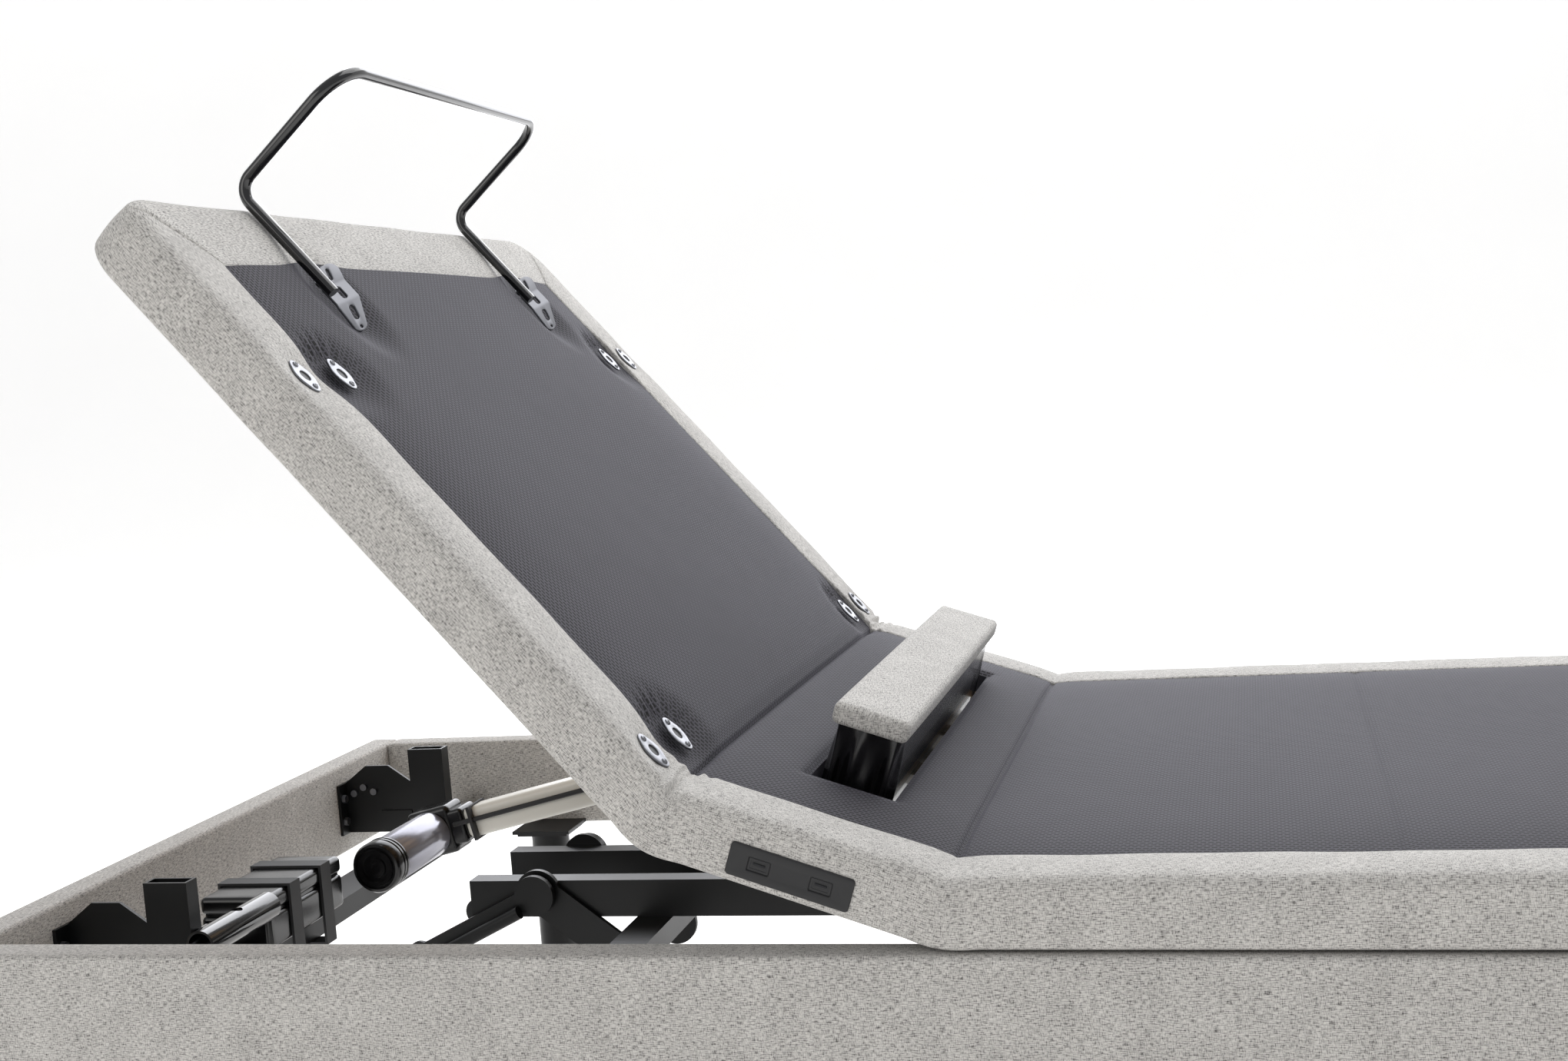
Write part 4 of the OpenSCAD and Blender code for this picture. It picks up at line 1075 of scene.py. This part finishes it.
class BED_OT_sockets(bpy.types.Operator):
    """Oval socket plates over shallow cups, with cross-head screws"""

    bl_idname = "bed.sockets"
    bl_label = "Retainer Sockets"

    def execute(self, context):
        oval = np.concatenate([arc(11 * MM, 0, 8 * MM, -62, 62, 12), arc(0, -5 * MM, 18 * MM, 68, 112, 10),
                               arc(-11 * MM, 0, 8 * MM, 118, 242, 12),
                               arc(0, 5 * MM, 18 * MM, 248, 292, 10)])
        hole = arc(0, 0, 6 * MM, 0, 350, 36)
        cup = np.array([(0, 0.9), (5.4, 0.9), (5.95, 1.5), (6.8, 0.2), (6.8, -1), (0, -1)]) * MM
        parts, screws, crosses, cups = [], [], [], []
        arms = np.array([[1, 0.28], [0.28, 0.28], [0.28, 1], [-0.28, 1], [-0.28, 0.28], [-1, 0.28],
                         [-1, -0.28],
                         [-0.28, -0.28], [-0.28, -1], [0.28, -1], [0.28, -0.28], [1, -0.28]]) * 1.7 * MM
        for x in SOCKET_X:
            for y in SOCKET_Y:
                for side in (-1, 1):
                    seat = np.array([x, side * y, DECK_TOP - 2.6 * MM])

                    def place(p, seat=seat):
                        return on_back(p + seat)

                    parts.append(([oval, hole], 2.2 * MM, 0.7 * MM, place))
                    rings, uv = lathe(cup, seat, (0, 0, 1), (1, 0, 0), 40)
                    cups.append((on_back(rings), uv))
                    for s in (-1, 1):
                        at = seat + np.array([s * 13.2 * MM, 0, 2.4 * MM])
                        head = np.array([(0, 1.5), (1.6, 1.35), (2.6, 0.8), (3.1, 0), (3.1, -0.6),
                                         (0, -0.6)]) * MM
                        rings, uv = lathe(head, at, (0, 0, 1), (1, 0, 0), 28)
                        screws.append((on_back(rings), uv))

                        def low(p, at=at):
                            return on_back(p + at + np.array([0, 0, 1.05 * MM]))

                        crosses.append(([arms], 0.5 * MM, 0.05 * MM, low))
        for name, made, finish, nodes in (
            ("socket_plates", plates("socket_plates", parts), "zinc", ["retainer_sockets"]),
            ("socket_screws", tubes("socket_screws", screws), "zinc", []),
            ("socket_screw_crosses", plates("socket_screw_crosses", crosses), "abs", []),
        ):
            rigid(made, finish, "plated_steel" if finish == "zinc" else "black_plastic", "back_section",
                  *nodes)
        rigid(tubes("socket_sleeves", cups), "abs", "black_plastic", "back_section")
        return {"FINISHED"}


# ---------------------------------------------------------------- lumbar bar and charging panel


class BED_OT_lumbar_bar(bpy.types.Operator):
    """Padded cap of the lumbar bar and its folded vinyl skirt"""

    bl_idname = "bed.lumbar_bar"
    bl_label = "Lumbar Bar"

    def execute(self, context):
        low, high = DECK_TOP + 51 * MM, DECK_TOP + 72 * MM
        half_w, half_l = 36 * MM, 310 * MM
        rings, uv = soft_block((BAR_X - half_w, -half_l, low), (BAR_X + half_w, half_l, high), 6 * MM, 1,
                               1.2 * MM)
        rings = on_lumbar(rings)
        cap = paint(tubes("lumbar_bar_cap", [(rings, uv)], 60), M["upholstery"])
        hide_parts("bar_cap")
        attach(cap, "lumbar_bar")
        # the skirt's outline is carried upwards; its folds are deepest halfway up, and it is drawn in
        # under the cap
        outline = rounded_rect(62 * MM, 600 * MM, 9 * MM, 8)
        closed = np.concatenate([outline, outline[:1]])
        s = along(closed)
        dense = np.linspace(0, s[-1], 1201)[:-1]
        line = np.stack([np.interp(dense, s, closed[:, k]) for k in (0, 1)], -1)
        step = np.roll(line, -1, 0) - np.roll(line, 1, 0)
        out = np.stack([step[:, 1], -step[:, 0]], -1) / np.linalg.norm(step, axis=1)[:, None]
        height = np.linspace(0, 1, 34)
        z = DECK_TOP - 44 * MM + height * 94.5 * MM
        end = smooth((np.abs(line[:, 1]) - 262 * MM) / (22 * MM))
        tip = smooth((np.abs(line[:, 1]) - 296 * MM) / (4 * MM))
        lean = height[:, None]
        across = line[None, :, 0] / MM
        folds = 4.2 * np.cos(across / 5.4 + 1.6 * lean) + 1.9 * np.sin(across / 2.7 - 2.6 * lean)
        folds = folds * MM * tip[None]
        folds += 3.0 * MM * np.sin(line[None, :, 1] / (4.6 * MM) - 1.2 * lean) * (end - tip)[None]
        sag = np.sin(math.pi * lean) ** 0.8
        shift = folds * sag - 3 * MM * sag * tip[None] + 1.5 * MM * (1 - lean) * (1 - tip[None])
        plan = line[None] + out[None] * shift[..., None]
        outer = np.concatenate([plan + np.array([BAR_X, 0]),
                                np.broadcast_to(z[:, None, None], plan.shape[:2] + (1,))], -1)
        inward = outer - np.concatenate([out, np.zeros((len(out), 1))], 1)[None] * 1.2 * MM
        wall = np.concatenate([outer, inward[::-1]])
        quads, uv_quads = grid_faces(len(wall), wall.shape[1], True, True)
        width = np.linspace(0, s[-1], wall.shape[1] + 1)
        uv = np.stack(np.broadcast_arrays(np.arange(len(wall) + 1)[:, None] * 3 * MM, width[None]), -1)
        skirt = build("lumbar_bar_skirt", on_lumbar(wall.reshape(-1, 3)), [quads],
                      uv.reshape(-1, 2)[uv_quads.ravel()], 60)
        paint(skirt, M["vinyl"])
        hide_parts("bar_skirt")
        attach(skirt, "lumbar_section")
        foot = on_lumbar(np.array([[BAR_X, 0, DECK_TOP - 44 * MM], [BAR_X, 0, DECK_TOP]]))
        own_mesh(skirt)
        return {"FINISHED"}


class BED_OT_charging_panel(bpy.types.Operator):
    """Charging panel with bevelled edges and two ports"""

    bl_idname = "bed.charging_panel"
    bl_label = "Charging Panel"

    def execute(self, context):
        x, z = HINGE_2 - 128 * MM, DECK_TOP - 38.5 * MM

        def place(depth):
            def carry(p):
                out = np.stack([x + p[..., 0], -DECK_Y - depth - p[..., 2], z + p[..., 1]], -1)
                return on_lumbar(out)

            return carry

        ports = [rounded_rect(14.2 * MM, 6.6 * MM, 0.5 * MM, 3) + np.array([s * 27 * MM, 0]) for s in (-1,
                                                                                                       1)]
        frames = [rounded_rect(19 * MM, 11.5 * MM, 1 * MM, 3) + np.array([s * 27 * MM, 0]) for s in (-1, 1)]
        face = rounded_rect(108 * MM, 29 * MM, 3.5 * MM, 6)
        parts = [([face, *frames], 3.4 * MM, 1.3 * MM, place(-0.6 * MM))]
        for s, port in zip((-1, 1), ports):
            inner = rounded_rect(18.4 * MM, 10.9 * MM, 1 * MM, 3) + np.array([s * 27 * MM, 0])
            parts.append(([inner, port], 1.6 * MM, 0.3 * MM, place(0.2 * MM)))
        parts.append(([rounded_rect(100 * MM, 24 * MM, 2 * MM, 4)], 0.5 * MM, 0.1 * MM, place(1.0 * MM)))
        tongues = [([rounded_rect(10.5 * MM, 1.9 * MM, 0.4 * MM, 3) + np.array([s * 27 * MM, 0.8 * MM])],
                    0.9 * MM, 0.15 * MM, place(1.45 * MM)) for s in (-1, 1)]
        # the port tongues and the CAD ports take the darkened port metal, which is painted shade of the slots'
        # insides
        rigid(plates("charging_port_tongues", tongues), "port", "plated_steel", "lumbar_section")
        rigid(plates("charging_panel", parts), "abs", "black_plastic", "lumbar_section", "usb_panel")
        paint(frame["nodes"]["usb_ports"], M["port"])
        return {"FINISHED"}


# ---------------------------------------------------------------- surround


class BED_OT_surround(bpy.types.Operator):
    """Upholstered rails of the surround"""

    bl_idname = "bed.surround"
    bl_label = "Surround Rails"

    def execute(self, context):
        for node, axis in (("left_rail", 0), ("right_rail", 0), ("head_rail", 1), ("foot_rail", 1)):
            low, high = (np.array(c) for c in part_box(node))
            rings, uv = soft_block(low, high, 5 * MM, axis, 0.8 * MM, 7)
            obj = paint(tubes(node.replace("rail", "upholstery"), [(rings, uv)], 60), M["upholstery"])
            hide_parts(node)
            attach(obj, "root")
        return {"FINISHED"}


# ---------------------------------------------------------------- drives

CLEVIS = PIVOT["head_actuator_swing"]
ROD_AXIS = np.array([j for j in frame["joints"] if j["name"] == "head_rod_stroke"][0]["axis"])
ACTUATOR_Y = 190 * MM


def on_actuator(p):
    """Carries points drawn along +X from the head clevis into the head actuator's lean."""
    c, s = ROD_AXIS[0], ROD_AXIS[2]
    x, z = p[..., 0], p[..., 2]
    return np.stack([CLEVIS[0] + x * c - z * s, ACTUATOR_Y + p[..., 1], CLEVIS[2] + x * s + z * c], -1)


class BED_OT_head_drive(bpy.types.Operator):
    """Motor, gearbox and outer tube of the head actuator"""

    bl_idname = "bed.head_drive"
    bl_label = "Head Drive"

    def execute(self, context):
        body = np.array([(0, 24), (26, 24), (28, 26), (28, 146), (27.2, 147), (0, 147)]) * MM
        at = np.array([42 * MM, 0, 0])
        rings, uv = lathe(body, at, (0, -1, 0), (1, 0, 0), 72)
        rigid(tubes("head_motor_shell", [(on_actuator(rings), uv)]), "shell", "motor_shell",
              "head_actuator", "head_motor")
        cap = [(0, 147), (28.6, 147), (30, 148.5), (30, 151), (29, 152), (29, 154), (30, 155), (30, 158),
               (29, 159),
               (29, 161), (30, 162), (30, 172), (28, 175.5), (25, 176), (24.4, 174), (22, 174),
               (21.4, 176), (17, 176),
               (16.2, 173), (12, 173), (11.2, 175), (6, 175.4), (5, 173.6), (0, 173.6)]
        rings, uv = lathe(np.array(cap) * MM, at, (0, -1, 0), (1, 0, 0), 72)
        rigid(tubes("head_motor_cap", [(on_actuator(rings), uv)], 35), "nylon", "black_plastic",
              "head_actuator")
        parts = [soft_block((16 * MM, -23.8 * MM, -30 * MM), (74 * MM, 24 * MM, 30 * MM), 7 * MM, 1),
                 soft_block((4 * MM, -9 * MM, -10 * MM), (22 * MM, 9 * MM, 10 * MM), 1.5 * MM, 0),
                 soft_block((60 * MM, -22 * MM, -22 * MM), (90 * MM, 22 * MM, 22 * MM), 5 * MM, 0)]
        eye = lathe(np.array([(5.2, -9), (11, -9), (11, 9), (5.2, 9)]) * MM, np.zeros(3), (0, 1, 0),
                    (1, 0, 0), 48)
        rigid(tubes("head_gear_case", [(on_actuator(r), uv) for r, uv in parts]), "nylon",
              "black_plastic", "head_actuator", "head_gearbox")
        quads, _ = grid_faces(4, 48, True, True)
        rigid(build("head_gear_eye", on_actuator(eye[0].reshape(-1, 3)), [quads],
                    np.zeros((quads.size, 2))), "nylon", "black_plastic", "head_actuator")
        rings, uv = soft_block((88 * MM, -19 * MM, -19 * MM), (404 * MM, 19 * MM, 19 * MM), 8 * MM, 0)
        rigid(tubes("head_outer_tube", [(on_actuator(rings), uv)]), "pale", "pale_tube", "head_actuator",
              "head_tube")
        return {"FINISHED"}


class BED_OT_control_box(bpy.types.Operator):
    """Gloss black electronics box: lower and upper shells with a narrow parting gap, round a smaller inner block
    """

    bl_idname = "bed.control_box"
    bl_label = "Control Box"

    def execute(self, context):
        low, high = (np.array(c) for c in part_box("control_box"))
        lid = low + np.array([0, 0, 0.66]) * (high - low)
        parts = [soft_block(low, np.array([high[0], high[1], lid[2] - 0.6 * MM]), 6 * MM, 1),
                 soft_block(np.array([low[0], low[1], lid[2] + 0.6 * MM]), high, 6 * MM, 1),
                 soft_block(low + 3 * MM, high - 3 * MM, 4 * MM, 1)]
        rigid(tubes("control_case", parts), "nylon", "black_plastic", "root", "control_box")
        return {"FINISHED"}


class BED_OT_frame_finish(bpy.types.Operator):
    """Finishes of every frame part that is shown as it is"""

    bl_idname = "bed.frame_finish"
    bl_label = "Frame Finishes"

    def execute(self, context):
        by_slot = {"black_steel": "powder", "gloss_rod": "enamel", "plated_steel": "zinc",
                   "black_plastic": "nylon",
                   "motor_shell": "shell", "pale_tube": "pale", "strap_rubber": "rubber",
                   "plywood": "plywood",
                   "rail_fabric": "upholstery", "deck_fabric": "upholstery", "spacer_mesh": "mesh",
                   "black_vinyl": "vinyl"}
        special = {"carrier_tube": "enamel", "head_rod": "chrome", "foot_rod": "chrome", "usb_panel": "abs",
                   "seat_hinges": "powder", "lumbar_hinges": "powder", "back_hinges": "powder",
                   "thigh_hinges": "powder", "foot_hinges": "powder"}
        for part in frame["record"]["subparts"]:
            name = part["node"]
            finish = special.get(name, by_slot[part["material_slot"]])
            paint(frame["nodes"][name], M[finish])
        return {"FINISHED"}


# ---------------------------------------------------------------- stage


class BED_OT_stage(bpy.types.Operator):
    """Pale sweep, soft light and the camera"""

    bl_idname = "bed.stage"
    bl_label = "Stage"

    def execute(self, context):
        settings = context.scene.bed_stage
        low = rounded_path([(0, -14, 0), (0, 9, 0), (0, 9, 16)], (4.0,), 32)
        x = np.linspace(-30, 30, 9)
        points = np.stack([np.broadcast_to(x[:, None], (9, len(low))),
                           np.broadcast_to(low[:, 1], (9, len(low))),
                           np.broadcast_to(low[:, 2], (9, len(low)))], -1)
        quads, _ = grid_faces(9, len(low))
        mesh = bpy.data.meshes.new("floor")
        mesh.from_pydata(points.reshape(-1, 3).tolist(), [], quads.tolist())
        mesh.shade_smooth()
        floor = bpy.data.objects.new("floor", mesh)
        context.scene.collection.objects.link(floor)

        def base(tree):
            place = add(tree, "ShaderNodeTexCoord").outputs["Object"]
            cloud = add(tree, "ShaderNodeTexNoise", {"Vector": place, "Scale": 1.5, "Detail": 3.0})
            tone = add(tree, "ShaderNodeMix", {0: cloud.outputs["Fac"], 6: colour(settings.floor),
                                               7: colour("#EFEEEC")}, data_type="RGBA")
            return {"colour": tone.outputs[2]}

        paint(floor, finish_material("matt_studio_floor", base, 0.9, Emission_Color=colour("#FFFFFF"),
                                     Emission_Strength=0.42))
        world = bpy.data.worlds.new("studio")
        context.scene.world = world
        context.scene.view_settings.view_transform = "Standard"
        world.use_nodes = True
        sky = world.node_tree.nodes["Background"]
        sky.inputs["Color"].default_value = colour("#F6F7FA")
        sky.inputs["Strength"].default_value = 0.5
        for name, place, look, size, power, tint in (
            ("key_window", (-2.6, -3.4, 2.4), (-0.2, 0, 0.4), 2.6, 34, "#FFFDF8"),
            ("back_window", (-0.6, 4.2, 2.6), (-0.2, 0, 0.6), 4.5, 190, "#F7F9FF"),
            ("top_light", (0.9, 0.8, 3.4), (0.1, 0, 0.4), 3.0, 62, "#FFFFFF"),
        ):
            lamp = bpy.data.lights.new(name, "AREA")
            lamp.energy = power
            lamp.size = size
            lamp.color = colour(tint)[:3]
            holder = bpy.data.objects.new(name, lamp)
            context.scene.collection.objects.link(holder)
            toward = np.array(look) - np.array(place)
            holder.location = place
            holder.rotation_euler = Vector(toward).to_track_quat("-Z", "Y").to_euler()
        add_camera(context, settings)
        return {"FINISHED"}


def add_camera(context, settings):
    """The camera: yaw, pitch and roll in degrees about the place where it stands."""
    yaw, pitch, roll = math.radians(13.96), math.radians(5.07), math.radians(4.35)
    ahead = np.array([-math.sin(yaw) * math.cos(pitch), math.cos(yaw) * math.cos(pitch), -math.sin(pitch)])
    right0 = np.array([math.cos(yaw), math.sin(yaw), 0])
    up0 = np.cross(right0, ahead)
    right = math.cos(roll) * right0 - math.sin(roll) * up0
    up = math.sin(roll) * right0 + math.cos(roll) * up0
    data = bpy.data.cameras.new("camera")
    data.lens = settings.lens
    data.sensor_width = 36.0
    data.clip_start, data.clip_end = 0.05, 60.0
    camera = bpy.data.objects.new("camera", data)
    context.scene.collection.objects.link(camera)
    place = Matrix((
        (right[0], up[0], -ahead[0], settings.eye[0]),
        (right[1], up[1], -ahead[1], settings.eye[1]),
        (right[2], up[2], -ahead[2], settings.eye[2]),
        (0, 0, 0, 1),
    ))
    camera.matrix_world = place
    context.scene.camera = camera


# ---------------------------------------------------------------- panel and registration


class BED_PT_panel(bpy.types.Panel):
    """Lists the pieces of the bed base"""

    bl_idname = "BED_PT_panel"
    bl_label = "Bed Base"
    bl_space_type = "VIEW_3D"
    bl_region_type = "UI"
    bl_category = "Bed Base"

    def draw(self, context):
        for operator in OPERATORS:
            self.layout.operator(operator.bl_idname)
        for group in (context.scene.bed_fabric, context.scene.bed_bend, context.scene.bed_stage):
            column = self.layout.column()
            for key in group.__annotations__:
                column.prop(group, key)


OPERATORS = (BED_OT_stage, BED_OT_frame_finish, BED_OT_surround, BED_OT_borders, BED_OT_pads,
             BED_OT_stitches,
             BED_OT_retainer, BED_OT_brackets, BED_OT_sockets, BED_OT_lumbar_bar, BED_OT_charging_panel,
             BED_OT_head_drive, BED_OT_control_box)
GROUPS = {"bed_fabric": BedFabricSettings, "bed_bend": BedBendSettings, "bed_stage": BedStageSettings}


def register():
    for cls in (*GROUPS.values(), *OPERATORS, BED_PT_panel):
        bpy.utils.register_class(cls)
    for name, group in GROUPS.items():
        setattr(bpy.types.Scene, name, PointerProperty(type=group))


def unregister():
    for name in GROUPS:
        delattr(bpy.types.Scene, name)
    for cls in (BED_PT_panel, *reversed(OPERATORS), *reversed(list(GROUPS.values()))):
        bpy.utils.unregister_class(cls)


def main():
    register()
    M.update(make_materials())
    for operator in OPERATORS:
        group, name = operator.bl_idname.split(".")
        getattr(getattr(bpy.ops, group), name)()


if __name__ == "__main__":
    main()
